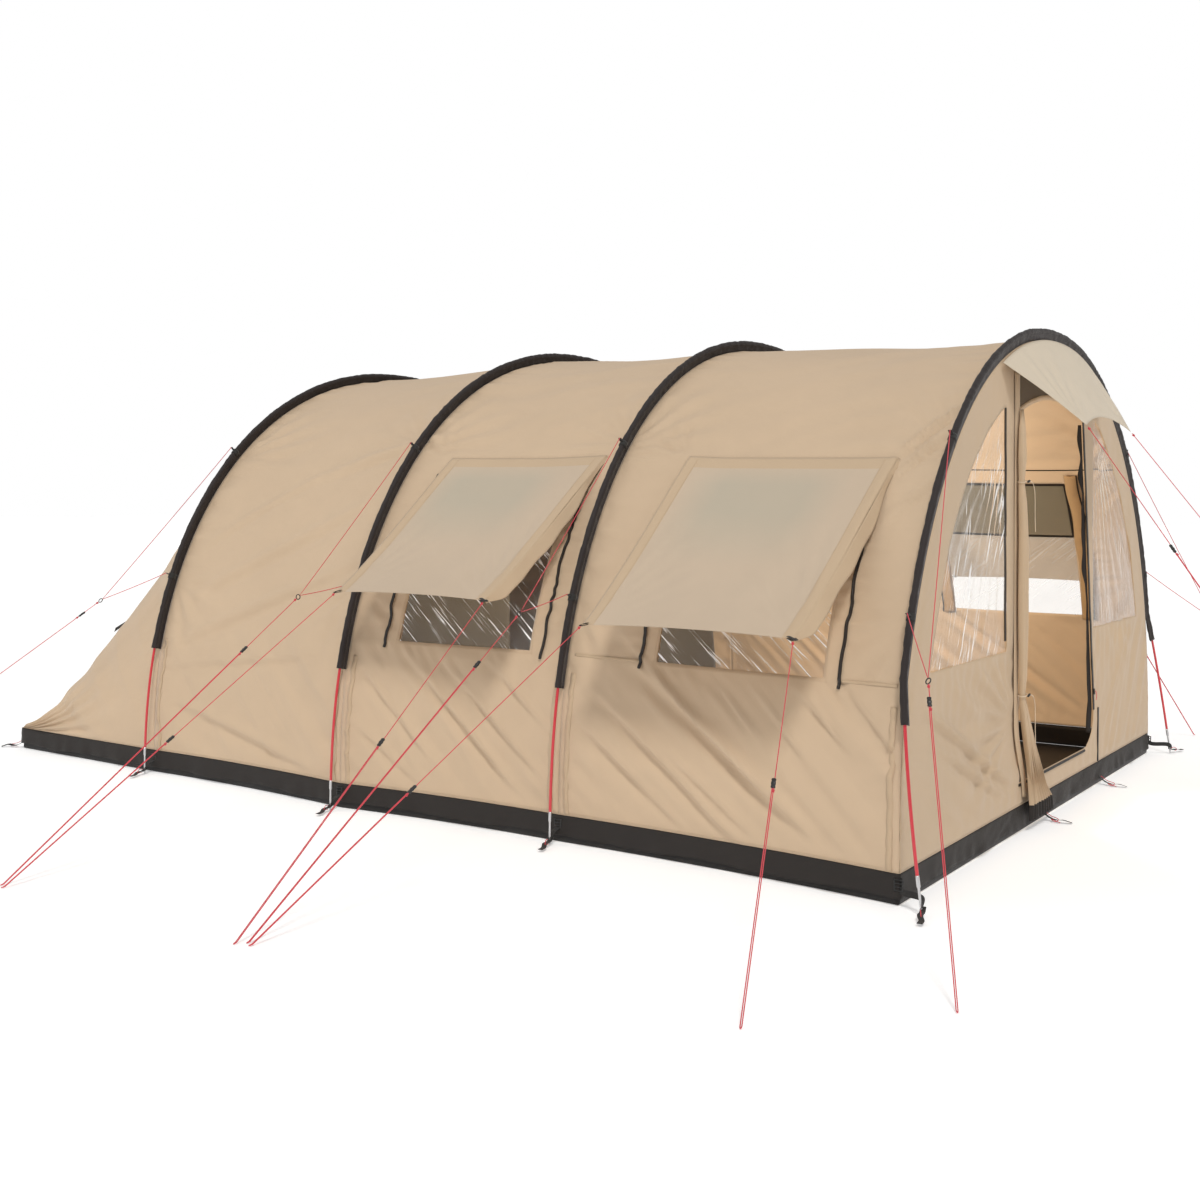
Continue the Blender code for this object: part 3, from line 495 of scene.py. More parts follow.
def inside(outline, points):
    """Which points lie inside an outline, both as (across, height)."""
    within = np.zeros(len(points), bool)
    x, y = points[:, 0], points[:, 1]
    for (x0, y0), (x1, y1) in zip(outline, np.roll(outline, -1, axis=0)):
        if y0 == y1:
            continue
        crosses = (y0 > y) != (y1 > y)
        within ^= crosses & (x < (x1 - x0) * (y - y0) / (y1 - y0) + x0)
    return within


def refined(outline, cell):
    """The outline with a point at least every cell."""
    points = []
    closed = np.vstack([outline, outline[:1]])
    for a, b in zip(closed[:-1], closed[1:]):
        count = max(1, math.ceil(np.linalg.norm(b - a) / cell))
        points += [a + (b - a) * k / count for k in range(count)]
    return np.array(points)


def panel_sheet(name, outline, holes, place, material, cell=CELL, thickness=CLOTH, flip=False):
    """A cloth panel cut to an outline, less its holes; place turns flat points into the row frame."""
    rims = [refined(np.array(rim), cell) for rim in (outline, *holes)]
    low, high = rims[0].min(0), rims[0].max(0)
    us, vs = np.meshgrid(np.arange(low[0], high[0], cell), np.arange(low[1], high[1], cell))
    us = us + cell / 2 * (np.arange(us.shape[0])[:, None] % 2)
    inner = np.stack([us.ravel(), vs.ravel()], axis=1)
    wanted = inside(rims[0], inner)
    for hole in rims[1:]:
        wanted &= ~inside(hole, inner)
    inner = inner[wanted]
    border = np.concatenate(rims)
    for chunk in np.array_split(border, max(1, len(border) // 60)):
        far = np.linalg.norm(inner[:, None] - chunk[None], axis=2).min(1) > 0.55 * cell
        inner = inner[far]
    edges, start = [], 0
    for rim in rims:
        edges += [(start + k, start + (k + 1) % len(rim)) for k in range(len(rim))]
        start += len(rim)
    flat = [Vector(p) for p in np.concatenate([border, inner])]
    verts, _, faces, *_ = delaunay_2d_cdt(flat, edges, [], 1, 1e-7)
    verts = np.array([tuple(v) for v in verts])
    faces = np.array(faces)
    centres = verts[faces].mean(1)
    keep = inside(rims[0], centres)
    for hole in rims[1:]:
        keep &= ~inside(hole, centres)
    used, faces = numbered(faces[keep], len(verts))
    if flip:
        faces = faces[:, ::-1]
    made = new_mesh(name, place(verts[used, 0], verts[used, 1]), faces, material, verts[used])
    return thicken(made, thickness) if thickness else made


def frames_along(points):
    """Unit tangents and two unit sides along a line of points, without twist."""
    tangents = np.gradient(points, axis=0)
    tangents /= np.linalg.norm(tangents, axis=1, keepdims=True)
    start = np.cross(tangents[0], (0.0, 0.0, 1.0))
    if np.linalg.norm(start) < 1e-3:
        start = np.cross(tangents[0], (0.0, 1.0, 0.0))
    side = start / np.linalg.norm(start)
    sides = []
    for tangent in tangents:
        side = side - tangent * (side @ tangent)
        side = side / np.linalg.norm(side)
        sides.append(side)
    sides = np.array(sides)
    return tangents, sides, np.cross(tangents, sides)


def facing_sides(line, facing):
    """At each point of a line: across it, and out of the side that looks the way of facing."""
    tangents = np.gradient(line, axis=0)
    tangents /= np.linalg.norm(tangents, axis=1, keepdims=True)
    across = np.cross(facing, tangents)
    across /= np.linalg.norm(across, axis=1, keepdims=True)
    return across, np.cross(tangents, across)


def flat_section(width, thickness):
    """A strap's section, as corners about its middle."""
    half, thin = width / 2, thickness / 2
    return [(-half, -thin), (half, -thin), (half, thin), (-half, thin)]


def swept(name, points, section, material, sides=None, ring=False, smooth=True):
    """A solid swept along points, or round a closed ring; section(k) gives (aside, up) pairs at station k."""
    points = np.asarray(points, float)
    if sides is None:
        _, across, up = frames_along(points)
    else:
        across, up = sides
    rings = []
    for k in range(len(points)):
        outline = np.asarray(section(k))
        rings.append(points[k] + outline[:, :1] * across[k] + outline[:, 1:] * up[k])
    count = len(rings[0])
    faces = []
    for k in range(len(rings) - 1):
        for s in range(count):
            a, b = k * count + s, k * count + (s + 1) % count
            faces.append((a, b, b + count, a + count))
    verts = np.concatenate(rings)
    last = len(verts) - count
    if ring:
        faces += [(last + s, last + (s + 1) % count, (s + 1) % count, s) for s in range(count)]
    else:
        faces.append(tuple(reversed(range(count))))
        faces.append(tuple(last + s for s in range(count)))
    return new_mesh(name, verts, faces, material, smooth=smooth)


def lay_along(piece, places):
    """Flat coordinates for a swept piece whose rings stand at places along it."""
    point = np.arange(len(piece.data.vertices))
    per_ring = len(point) // len(places)
    set_flat(piece.data, np.stack([places[point // per_ring], (point % per_ring) * 0.004], 1))


def circle(radius, count=10, squeeze=1.0):
    turns = np.arange(count) * 2 * math.pi / count
    return np.stack([radius * np.cos(turns), radius * squeeze * np.sin(turns)], axis=1)


def spline_points(route, step=0.01):
    """Points a step apart on a smooth curve through the route's points."""
    route = np.asarray(route, float)
    knots_at = distances(route)
    slopes = np.gradient(route, knots_at, axis=0)
    at = np.linspace(0.0, knots_at[-1], max(3, int(knots_at[-1] / step) + 1))
    i = np.clip(np.searchsorted(knots_at, at) - 1, 0, len(route) - 2)
    span = (knots_at[i + 1] - knots_at[i])[:, None]
    t = ((at - knots_at[i]) / (knots_at[i + 1] - knots_at[i]))[:, None]
    return ((2 * t ** 3 - 3 * t ** 2 + 1) * route[i] + (t ** 3 - 2 * t ** 2 + t) * span * slopes[i]
            + (3 * t ** 2 - 2 * t ** 3) * route[i + 1] + (t ** 3 - t ** 2) * span * slopes[i + 1])


def joined(name, parts):
    """Several mesh objects made into one piece."""
    for made in bpy.context.selected_objects:
        made.select_set(False)
    for made in parts:
        made.select_set(True)
    bpy.context.view_layer.objects.active = parts[0]
    bpy.ops.object.join()
    parts[0].name = name
    parts[0].data.name = name
    return parts[0]


def settle(piece, replaces=(), body="root"):
    """Rides a piece on its body and hides the nodes that it stands for."""
    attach(piece, body)
    if replaces:
        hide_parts(*replaces)
    return piece


# ================================================================ shader maths
class Value:
    """A shader socket that Python's operators calculate with."""

    def __init__(self, finish, socket):
        self.finish = finish
        self.socket = socket

    def maths(self, operation, *values):
        return self.finish.node("ShaderNodeMath", {"operation": operation}, dict(enumerate(values)))

    def __add__(self, other):
        return self.maths("ADD", self, other)

    def __sub__(self, other):
        return self.maths("SUBTRACT", self, other)

    def __rsub__(self, other):
        return self.maths("SUBTRACT", other, self)

    def __mul__(self, other):
        return self.maths("MULTIPLY", self, other)

    def __pow__(self, other):
        return self.maths("POWER", self, other)

    __radd__ = __add__
    __rmul__ = __mul__

    def sine(self):
        return self.maths("SINE", self)

    def clamped(self):
        return self.finish.node("ShaderNodeClamp", {}, {0: self})


class Finish:
    """A material on one Principled shader, and the nodes that feed it."""

    def __init__(self, name):
        self.material = bpy.data.materials.new(name)
        self.material.use_nodes = True
        self.tree = self.material.node_tree
        self.shader = self.tree.nodes["Principled BSDF"]

    def node(self, kind, settings=None, inputs=None, output=0):
        made = self.tree.nodes.new(kind)
        for key, value in (settings or {}).items():
            if key == "stops":
                for stop, (place, colour) in zip(made.color_ramp.elements, value):
                    stop.position = place
                    stop.color = colour
            else:
                setattr(made, key, value)
        for key, value in (inputs or {}).items():
            self.feed(made.inputs[key], value)
        return Value(self, made.outputs[output])

    def feed(self, socket, value):
        if isinstance(value, Value):
            self.tree.links.new(value.socket, socket)
        else:
            socket.default_value = value

    def set(self, **inputs):
        for key, value in inputs.items():
            self.feed(self.shader.inputs[key.replace("_", " ")], value)
        return self

    def cloth_place(self):
        """The flat place on the cloth, in metres."""
        return self.node("ShaderNodeUVMap", {"uv_map": "cloth"})

    def object_place(self):
        return self.node("ShaderNodeTexCoord", output="Object")

    def parts_of(self, vector):
        split = self.node("ShaderNodeSeparateXYZ", {}, {0: vector}).socket.node
        return [Value(self, output) for output in split.outputs]

    def turned(self, place, slant):
        """Distances along and aside of a direction on the cloth, slant degrees from its first side."""
        u, v, _ = self.parts_of(place)
        turn = math.radians(slant)
        return u * math.cos(turn) + v * math.sin(turn), v * math.cos(turn) - u * math.sin(turn)

    def noise(self, place, scale, detail=3.0, output=0):
        return self.node("ShaderNodeTexNoise", {}, {"Vector": place, "Scale": scale, "Detail": detail},
                         output)

    def mix(self, first, second, factor):
        return self.node("ShaderNodeMix", {"data_type": "RGBA"}, {0: factor, 6: first, 7: second}, 2)

    def bump(self, height, strength, distance, under=None):
        inputs = {"Height": height, "Strength": strength, "Distance": distance}
        if under:
            inputs["Normal"] = under
        return self.node("ShaderNodeBump", {}, inputs)


def shade(colour, factor):
    return (*[min(1.0, c * factor) for c in colour], 1.0)


def woven(name, colour, light=1.06, dark=0.90, roughness=0.72, pitch=0.0011, sheen=0.15, relief=0.00012,
          crumple=0.0, slant=-42.0, painted_shade=None, use_cloth_place=True):
    """A plain weave: crossed threads in colour and relief, slow changes of dye, and slack creases; where a
    shade colour is given, also a painted shade that darkens the upper middle of the cloth towards it.
    """
    finish = Finish(name)
    place = finish.cloth_place() if use_cloth_place else finish.object_place()
    u, v, _ = finish.parts_of(place)
    turns = 2 * math.pi / pitch
    threads = (u * turns).sine() * (v * turns).sine()
    slubs = finish.noise(place, 900.0, 1.0)
    drift = finish.noise(place, 2.2, 4.0)
    handled = finish.noise(place, 14.0, 5.0)
    tone = finish.mix(shade(colour, dark), shade(colour, light), (drift * 0.7 + handled * 0.3).clamped())
    tone = finish.mix(tone, shade(colour, 0.82), (threads * 0.10 + slubs * 0.10).clamped())
    # Painted shade: the upper middle of the cloth, near the wall, is mixed towards a darker colour, standing
    # for the dark window that shows through the thin awning from behind.
    if painted_shade:
        upper = ((0.42 - v) * 5.0).clamped() * ((v - 0.03) * 12.0).clamped()
        middle = ((u - 0.12) * 6.0).clamped() * ((0.80 - u) * 6.0).clamped()
        tone = finish.mix(tone, shade(painted_shade, 1.0), upper * middle * (drift * 0.7 + 0.45))
    finish.set(Base_Color=tone, Roughness=(handled * 0.12 + (roughness - 0.06)).clamped())
    finish.set(Sheen_Weight=sheen, Sheen_Roughness=0.45, Specular_IOR_Level=0.35)
    weave = finish.bump(threads + slubs * 0.6 + handled * 2.0, 0.5, relief)
    if crumple:
        along, aside = finish.turned(place, slant)
        creases = finish.noise(finish.node("ShaderNodeCombineXYZ", {}, {0: along * 2.5, 1: aside * 22.0}),
                               1.0, 4.0)
        other = finish.noise(finish.node("ShaderNodeCombineXYZ", {}, {0: along * 11.0, 1: aside * 3.5}),
                             1.0, 3.0)
        weave = finish.bump(creases + other * 0.6, 0.7, crumple, weave)
    finish.set(Normal=weave)
    return finish.material


def clear_film(name, body, glints, slant):
    """Clear soft vinyl: mostly seen through, glossy, with painted glints on creases that run at a slant:
    whiter, more opaque streaks that stand partly for highlights and partly for the vinyl's own whitening at
    its creases.
    """
    finish = Finish(name)
    place = finish.cloth_place()
    along, aside = finish.turned(place, slant)
    fine = finish.noise(finish.node("ShaderNodeCombineXYZ", {}, {0: along * 5.0, 1: aside * 120.0}), 1.0, 3.0)
    broad = finish.noise(finish.node("ShaderNodeCombineXYZ", {}, {0: along * 2.6, 1: aside * 17.0}), 1.0, 2.0)
    soft = finish.noise(place, 9.0, 3.0)
    # Painted glints: along the slanting creases the colour goes white and the film more opaque, partly a
    # painted highlight and partly the real whitening of creased vinyl.
    whitening_and_painted_glint = ((fine - 0.55) * 16.0).clamped() * ((broad - 0.45) * 9.0).clamped()
    rim = finish.node("ShaderNodeFresnel", {}, {"IOR": 1.5})
    finish.set(Base_Color=finish.mix((0.80, 0.78, 0.75, 1.0), (1.0, 1.0, 1.0, 1.0), whitening_and_painted_glint))
    finish.set(Alpha=(rim * 0.8 + whitening_and_painted_glint * glints + soft * 0.06 + body).clamped())
    finish.set(Roughness=(soft * 0.12 + 0.03).clamped(), Specular_IOR_Level=0.9, Coat_Roughness=0.03)
    finish.set(Coat_Weight=0.6)
    finish.set(Normal=finish.bump(fine + broad * 2.0, 0.7, 0.003))
    return finish.material


def mesh_screen(name, colour, cover, pitch=0.0026):
    """Insect mesh: fine square holes, seen as a darkening film from a distance."""
    finish = Finish(name)
    place = finish.cloth_place()
    u, v, _ = finish.parts_of(place)
    turns = 2 * math.pi / pitch
    grid = (u * turns).sine() * (v * turns).sine()
    clouds = finish.noise(place, 6.0, 3.0)
    finish.set(Base_Color=finish.mix(shade(colour, 0.85), shade(colour, 1.15), clouds))
    finish.set(Alpha=(grid * 0.10 + clouds * 0.08 + (cover - 0.04)).clamped(), Roughness=0.8)
    finish.set(Normal=finish.bump(grid, 0.3, 0.0002))
    return finish.material


def plastic(name, colour, roughness=0.38, grain=0.00006):
    finish = Finish(name)
    place = finish.object_place()
    speckle = finish.noise(place, 420.0, 3.0)
    worn = finish.noise(place, 60.0, 4.0)
    finish.set(Base_Color=finish.mix(shade(colour, 0.8), shade(colour, 1.5), (worn * 0.6).clamped()))
    finish.set(Roughness=(worn * 0.2 + (roughness - 0.1)).clamped())
    finish.set(Normal=finish.bump(speckle, 0.35, grain))
    return finish.material


def metal(name, colour, roughness=0.3):
    finish = Finish(name)
    place = finish.object_place()
    brushed = finish.noise(place, 700.0, 2.0)
    finish.set(Base_Color=finish.mix(shade(colour, 0.85), shade(colour, 1.1), brushed))
    finish.set(Metallic=1.0, Roughness=(brushed * 0.15 + (roughness - 0.07)).clamped())
    finish.set(Normal=finish.bump(brushed, 0.2, 0.00003))
    return finish.material


def braided(name, colour, fleck):
    """Round braided cord: slanting plaits in relief, a lighter fleck, a little sheen."""
    finish = Finish(name)
    place = finish.object_place()
    x, y, z = finish.parts_of(place)
    first = (x * 1900.0 + y * 1300.0 + z * 2300.0).sine()
    second = (x * 1700.0 - y * 2100.0 - z * 1500.0).sine()
    plaits = first * second
    finish.set(Base_Color=finish.mix(shade(colour, 1.0), shade(fleck, 1.0), (plaits * 0.22).clamped()))
    finish.set(Roughness=0.6, Sheen_Weight=0.25)
    finish.set(Normal=finish.bump(plaits, 0.5, 0.0003))
    return finish.material


def painted_tube(name, colour):
    """Lacquered fibreglass: faint lengthwise fibres under a coat."""
    finish = Finish(name)
    place = finish.object_place()
    x, y, z = finish.parts_of(place)
    fibres = finish.noise(finish.node("ShaderNodeCombineXYZ", {}, {0: x * 1.0, 1: y * 1.0, 2: z * 0.03}),
                          700.0)
    finish.set(Base_Color=finish.mix(shade(colour, 0.8), shade(colour, 1.25), fibres))
    finish.set(Roughness=(fibres * 0.2 + 0.22).clamped(), Coat_Weight=0.4, Coat_Roughness=0.15)
    finish.set(Normal=finish.bump(fibres, 0.2, 0.00004))
    return finish.material


SAND = (0.605, 0.452, 0.305)
SAND_PALE = (0.560, 0.415, 0.272)
MATERIALS = {
    "sand": woven("sand_polyester", SAND, crumple=0.0022),
    "sand_pale": woven("sand_polyester_doubled", SAND_PALE, roughness=0.70, crumple=0.0014),
    "visor": woven("visor_polyester", (0.67, 0.575, 0.445), crumple=0.0012),
    # A darker, browner copy of the sand cloth for the blind strips inside the tent: painted shade of the
    # tent's inside.
    "sand_painted_shade": woven("sand_polyester_strip", (0.42, 0.27, 0.14), roughness=0.75),
    # The awning's cloth carries a painted shade over its upper middle, for the dark window behind it.
    "awning": woven("awning_polyester", (0.570, 0.450, 0.330), crumple=0.0014,
                    painted_shade=(0.46, 0.405, 0.31)),
    "sleeve": woven("brown_sleeve_cloth", (0.021, 0.0155, 0.0145), light=1.5, dark=0.8, roughness=0.7,
                    sheen=0.12),
    "skirt": woven("brown_skirt_cloth", (0.016, 0.0125, 0.0105), light=1.6, dark=0.8, roughness=0.65,
                   sheen=0.04,
                   crumple=0.003),
    "tub": woven("black_groundsheet_cloth", (0.009, 0.0075, 0.007), light=1.4, roughness=0.5, sheen=0.0),
    "cabin": woven("dark_cabin_cloth", (0.075, 0.062, 0.042), light=1.2, roughness=0.85),
    "mesh": mesh_screen("olive_insect_mesh", (0.19, 0.165, 0.115), 0.72),
    "vent": mesh_screen("brown_vent_mesh_cloth", (0.045, 0.035, 0.026), 0.94),
    # The glint strength of each pane is a painted highlight: strong on the near panes, faint on the far ones.
    "pane_near": clear_film("clear_side_pane", 0.04, 0.95, -38.0),
    "pane_far": clear_film("clouded_side_pane", 0.20, 0.06, -38.0),
    "front_pane_near": clear_film("clear_front_pane", 0.03, 0.70, 66.0),
    "front_pane_far": clear_film("clouded_front_pane", 0.14, 0.20, 108.0),
    "webbing": woven("black_webbing", (0.018, 0.017, 0.016), light=1.6, roughness=0.7, pitch=0.0022,
                     relief=0.0004, use_cloth_place=False),
    "tie": woven("cream_tie_cord", (0.68, 0.56, 0.42), pitch=0.0015, use_cloth_place=False),
    "line": braided("red_line_braid", (0.62, 0.035, 0.055), (0.85, 0.25, 0.25)),
    "thread": woven("sand_thread", (0.55, 0.41, 0.27), pitch=0.0009, use_cloth_place=False),
    "pole": painted_tube("red_fibreglass", (0.58, 0.030, 0.045)),
    "steel": metal("bright_steel", (0.62, 0.62, 0.63)),
    "zip": plastic("black_zip_coil", (0.020, 0.016, 0.013), 0.5),
    "zip_metal": metal("dark_zip_metal", (0.10, 0.09, 0.08), 0.35),
    "plastic": plastic("black_nylon", (0.018, 0.018, 0.018)),
}


# ================================================================ cords and what is on them
def cord_piece(name, points, material="line", diameter=LINE_DIAMETER):
    """A round cord through points, as a curve of one open spline."""
    curve = bpy.data.curves.new(name, "CURVE")
    curve.dimensions = "3D"
    curve.bevel_depth = diameter / 2
    curve.bevel_resolution = 3
    curve.use_fill_caps = True
    spline = curve.splines.new("POLY")
    spline.points.add(len(points) - 1)
    for point, place in zip(spline.points, points):
        point.co = (*place, 1.0)
    curve.materials.append(MATERIALS[material])
    return link(bpy.data.objects.new(name, curve))


def distances(points):
    """How far along a line of points each of them is."""
    return np.concatenate([[0.0], np.cumsum(np.linalg.norm(np.diff(points, axis=0), axis=1))])


def length_of(points):
    return float(np.linalg.norm(np.diff(np.asarray(points, float), axis=0), axis=1).sum())


def eased(start, end, count=24, sag=0.0):
    """A nearly straight run from start to end, with a little sag."""
    share = np.linspace(0.0, 1.0, count)[:, None]
    run = np.asarray(start) * (1 - share) + np.asarray(end) * share
    run[:, 2:] -= sag * 4 * share * (1 - share)
    return run


def hoop_tab(hoop, height, side):
    """Where a line meets the outer edge of a sleeve, as the frame has it."""
    step = math.pi / 30
    half = POLE_RADIUS + 0.0015 + 0.002 + HOOP_TOP[hoop] * (1 - math.cos(step / 2)) * 2
    out = half + LINE_OFF_SLEEVE + LINE_DIAMETER / 2
    angle = float(angle_at_height(height, HOOP_TOP[hoop]))
    across, up = arch(HOOP_HALF[hoop] + out, HOOP_TOP[hoop] + out, angle)
    return np.array([HOOP_X[hoop], side * abs(float(across)), float(up)])


def ring_piece(name, centre, normal, radius, wire, material):
    """A round ring about centre, lying square to normal."""
    normal = np.asarray(normal, float) / np.linalg.norm(normal)
    first = np.cross(normal, (0.0, 0.0, 1.0))
    first /= np.linalg.norm(first)
    second = np.cross(normal, first)
    turns = np.linspace(0.0, 2 * math.pi, 29)[:-1, None]
    loop = centre + radius * (np.cos(turns) * first + np.sin(turns) * second)
    sides = (np.tile(normal, (len(loop), 1)), (loop - centre) / radius)
    return swept(name, loop, lambda k: circle(wire, 8), MATERIALS[material], sides, ring=True)


def knot_piece(name, centre, direction, size, material="line"):
    """A small overhand knot: a trefoil of the cord, drawn tight."""
    direction = np.asarray(direction, float) / np.linalg.norm(direction)
    first = np.cross(direction, (0.31, 0.2, 0.93))
    first /= np.linalg.norm(first)
    second = np.cross(direction, first)
    turns = np.linspace(0.0, 2 * math.pi, 40)
    along = size * 0.8 * np.sin(3 * turns)
    radius = size * (1.0 + 0.45 * np.cos(3 * turns))
    points = (np.asarray(centre) + along[:, None] * direction + (radius * np.cos(2 * turns))[:, None]
              * first * 0.6
              + (radius * np.sin(2 * turns))[:, None] * second * 0.6)
    return swept(name, points, lambda k: circle(LINE_DIAMETER * 0.55, 7), MATERIALS[material])


def tensioner_piece(name, centre, towards, body, replaces=()):
    """A flat three-hole line slider: a rounded bar with its two waists and a raised grip."""
    along = np.asarray(towards, float) / np.linalg.norm(towards)
    flat = np.cross(along, (0.0, 0.0, 1.0))
    flat /= np.linalg.norm(flat)
    thin = np.cross(along, flat)
    stations = np.linspace(-1.0, 1.0, 25)
    points = np.asarray(centre) + stations[:, None] * along * 0.018

    def section(k):
        place = stations[k]
        end = math.sqrt(max(0.05, 1 - max(0.0, abs(place) - 0.72) ** 2 / 0.28 ** 2))
        waist = 1.0 - 0.22 * math.exp(-((abs(place) - 0.42) / 0.14) ** 2)
        grip = 1.0 + 0.30 * math.exp(-(place / 0.10) ** 2)
        turns = np.arange(16) * 2 * math.pi / 16
        wide = 0.0070 * waist * end * np.sign(np.cos(turns)) * np.abs(np.cos(turns)) ** 0.6
        deep = 0.0040 * grip * end * np.sign(np.sin(turns)) * np.abs(np.sin(turns)) ** 0.6
        return np.stack([wide, deep], axis=1)

    tiled = (np.tile(flat, (25, 1)), np.tile(thin, (25, 1)))
    bar = swept(name, points, section, MATERIALS["plastic"], tiled)
    eyes = []
    for k, place in enumerate((-0.011, 0.011)):
        eyes.append(ring_piece(f"{name}_eye_{k}", np.asarray(centre) + along * place + thin * 0.0038,
                               thin, 0.0032, 0.0011, "plastic"))
    piece = joined(name, [bar, *eyes])
    return settle(piece, replaces, body)


def doubled_run(ring, slider, peg):
    """The main line: from the ring through the slider to the peg, round it, and back to the slider."""
    direction = (peg - ring) / np.linalg.norm(peg - ring)
    aside = np.cross(direction, (0.0, 0.0, 1.0))
    aside /= np.linalg.norm(aside)
    gap = aside * STRAND_GAP
    down = eased(ring, peg, 26)
    turn = [peg + direction * PEG_LOOP_REACH * 0.3 + gap * 0.2,
            peg + direction * PEG_LOOP_REACH * 0.45 + gap * 0.5,
            peg + direction * PEG_LOOP_REACH * 0.3 + gap * 0.8]
    for place in turn:
        place[2] = max(place[2], PEG_LOOP_HEIGHT * 0.6)
    back = eased(peg + gap, slider + gap, 18)
    return np.concatenate([down, np.array(turn), back])


def main_line(name, ring, peg, slider_from_start, node, sliders_body, make_slider_for=None):
    """A guy line's main run with its slider and knots; returns the cord."""
    direction = (peg - ring) / np.linalg.norm(peg - ring)
    slider = ring + direction * slider_from_start
    points = doubled_run(ring, slider, peg)
    cord = cord_piece(name, points)
    stem = name.replace("guy_", "").replace("line_", "")
    knots_made = [knot_piece(f"knot_{stem}_top", ring + direction * 0.010, direction, 0.0042),
                  knot_piece(f"knot_{stem}_slider", slider + direction * 0.026, direction, 0.0040)]
    knot = joined(f"knots_{stem}", knots_made)
    settle(knot)
    aside = np.cross(direction, (0.0, 0.0, 1.0))
    centre = slider + aside / np.linalg.norm(aside) * STRAND_GAP / 2
    if make_slider_for:
        tensioner_piece(f"slider_{stem}", centre, direction, sliders_body, (make_slider_for,))
    else:
        far = tensioner_piece(f"slider_{stem}", centre, direction, "root")
    settle(cord, (node,))
    return cord


def make_hoop_guys():
    for side_name, side in SIDES.items():
        for hoop, name in enumerate(HOOPS):
            behind, across, pull, ring_share = HOOP_GUYS[side_name][hoop]
            peg = np.array([behind_front(behind), across, PEG_LOOP_HEIGHT])
            upper, lower = hoop_tab(hoop, UPPER_GUY_HEIGHT, side), hoop_tab(hoop, LOWER_GUY_HEIGHT, side)
            ring = upper + (lower - upper) * pull
            ring = ring + (peg - ring) * ring_share
            node = f"guy_{name}_{side_name}"
            direction = (peg - ring) / np.linalg.norm(peg - ring)
            inner = ring - direction * 0.009
            bridle_points = np.concatenate([eased(upper, inner, 20, 0.004),
                                            eased(inner, lower, 16, 0.003)[1:]])
            bridle = settle(cord_piece(f"bridle_{name}_{side_name}", bridle_points), (node,))
            eye = ring_piece(f"ring_{name}_{side_name}", ring, np.cross(direction, upper - lower), 0.0095,
                             0.0019,
                             "plastic")
            settle(eye)
            near = side < 0
            far_distance = FAR_TENSIONER_SHARE * np.linalg.norm(peg - ring)
            distance = HOOP_TENSIONER_FROM_RING[hoop] if near else far_distance
            slider = "tensioner_" + name if near else None
            main_line(f"guy_main_{name}_{side_name}", ring + direction * 0.009, peg, distance, node, slider,
                      slider)


def make_awning_lines():
    for side_name, side in SIDES.items():
        for name, pegs in AWNING_PEGS[side_name].items():
            for k, place in enumerate(("right", "left")):
                corner = np.array([behind_front(AWNING_CORNERS[name][k]), side * (AWNING_OUT + 0.002),
                                   AWNING_HEIGHT[name]])
                peg = np.array([behind_front(pegs[k][0]), pegs[k][1], PEG_LOOP_HEIGHT])
                start = corner + (peg - corner) / np.linalg.norm(peg - corner) * 0.008
                node = f"line_awning_{name}_{place}_{side_name}"
                near = side < 0
                reach = np.linalg.norm(peg - start)
                distance = AWNING_TENSIONER_FROM_CORNER[name][k] if near else FAR_TENSIONER_SHARE * reach
                slider = f"tensioner_awning_{name}_{place}" if near else None
                main_line(f"line_main_{name}_{place}_{side_name}", start, peg, distance, node, slider, slider)


def make_visor_lines():
    for side_name, side in SIDES.items():
        corner = np.array([HOOP_X[0] + VISOR_CORNER_OUT, side * VISOR_CORNER_ACROSS, VISOR_CORNER_HEIGHT])
        peg = np.array([behind_front(VISOR_PEG[0]), side * VISOR_PEG[1], PEG_LOOP_HEIGHT])
        start = corner + (peg - corner) / np.linalg.norm(peg - corner) * 0.008
        slider = "tensioner_visor_" + side_name
        main_line("line_main_visor_" + side_name, start, peg, VISOR_TENSIONER_FROM_CORNER,
                  "line_visor_" + side_name, slider, slider)


# ================================================================ camera, floor and light
def make_camera():
    camera = bpy.data.objects.new("camera", bpy.data.cameras.new("camera"))
    link(camera)
    yaw, pitch, roll = np.radians((CAMERA_YAW, CAMERA_PITCH, CAMERA_ROLL))
    forward = Vector((-math.sin(yaw) * math.cos(pitch), math.cos(yaw) * math.cos(pitch), math.sin(pitch)))
    right = Vector((math.cos(yaw), math.sin(yaw), 0.0))
    up = right.cross(forward)
    right, up = right * math.cos(roll) + up * math.sin(roll), up * math.cos(roll) - right * math.sin(roll)
    turned = Matrix((right, up, -forward)).transposed().to_4x4()
    camera.matrix_world = Matrix.Translation(CAMERA_PLACE) @ turned
    camera.data.sensor_width = CAMERA_SENSOR
    camera.data.lens = CAMERA_LENS
    camera.data.shift_x, camera.data.shift_y = CAMERA_SHIFT
    camera.data.clip_end = 200.0
    bpy.context.scene.camera = camera


def make_floor():
    floor = Finish("pale_floor")
    floor.set(Base_Color=(0.88, 0.88, 0.88, 1.0), Roughness=0.9, Emission_Color=(1.0, 1.0, 1.0, 1.0),
              Emission_Strength=0.30)
    size = 60.0
    corners = [(-size, -size, 0.0), (size, -size, 0.0), (size, size, 0.0), (-size, size, 0.0)]
    new_mesh("floor", np.array(corners) - (0.0, 0.0, 0.0015), [(0, 1, 2, 3)], floor.material)


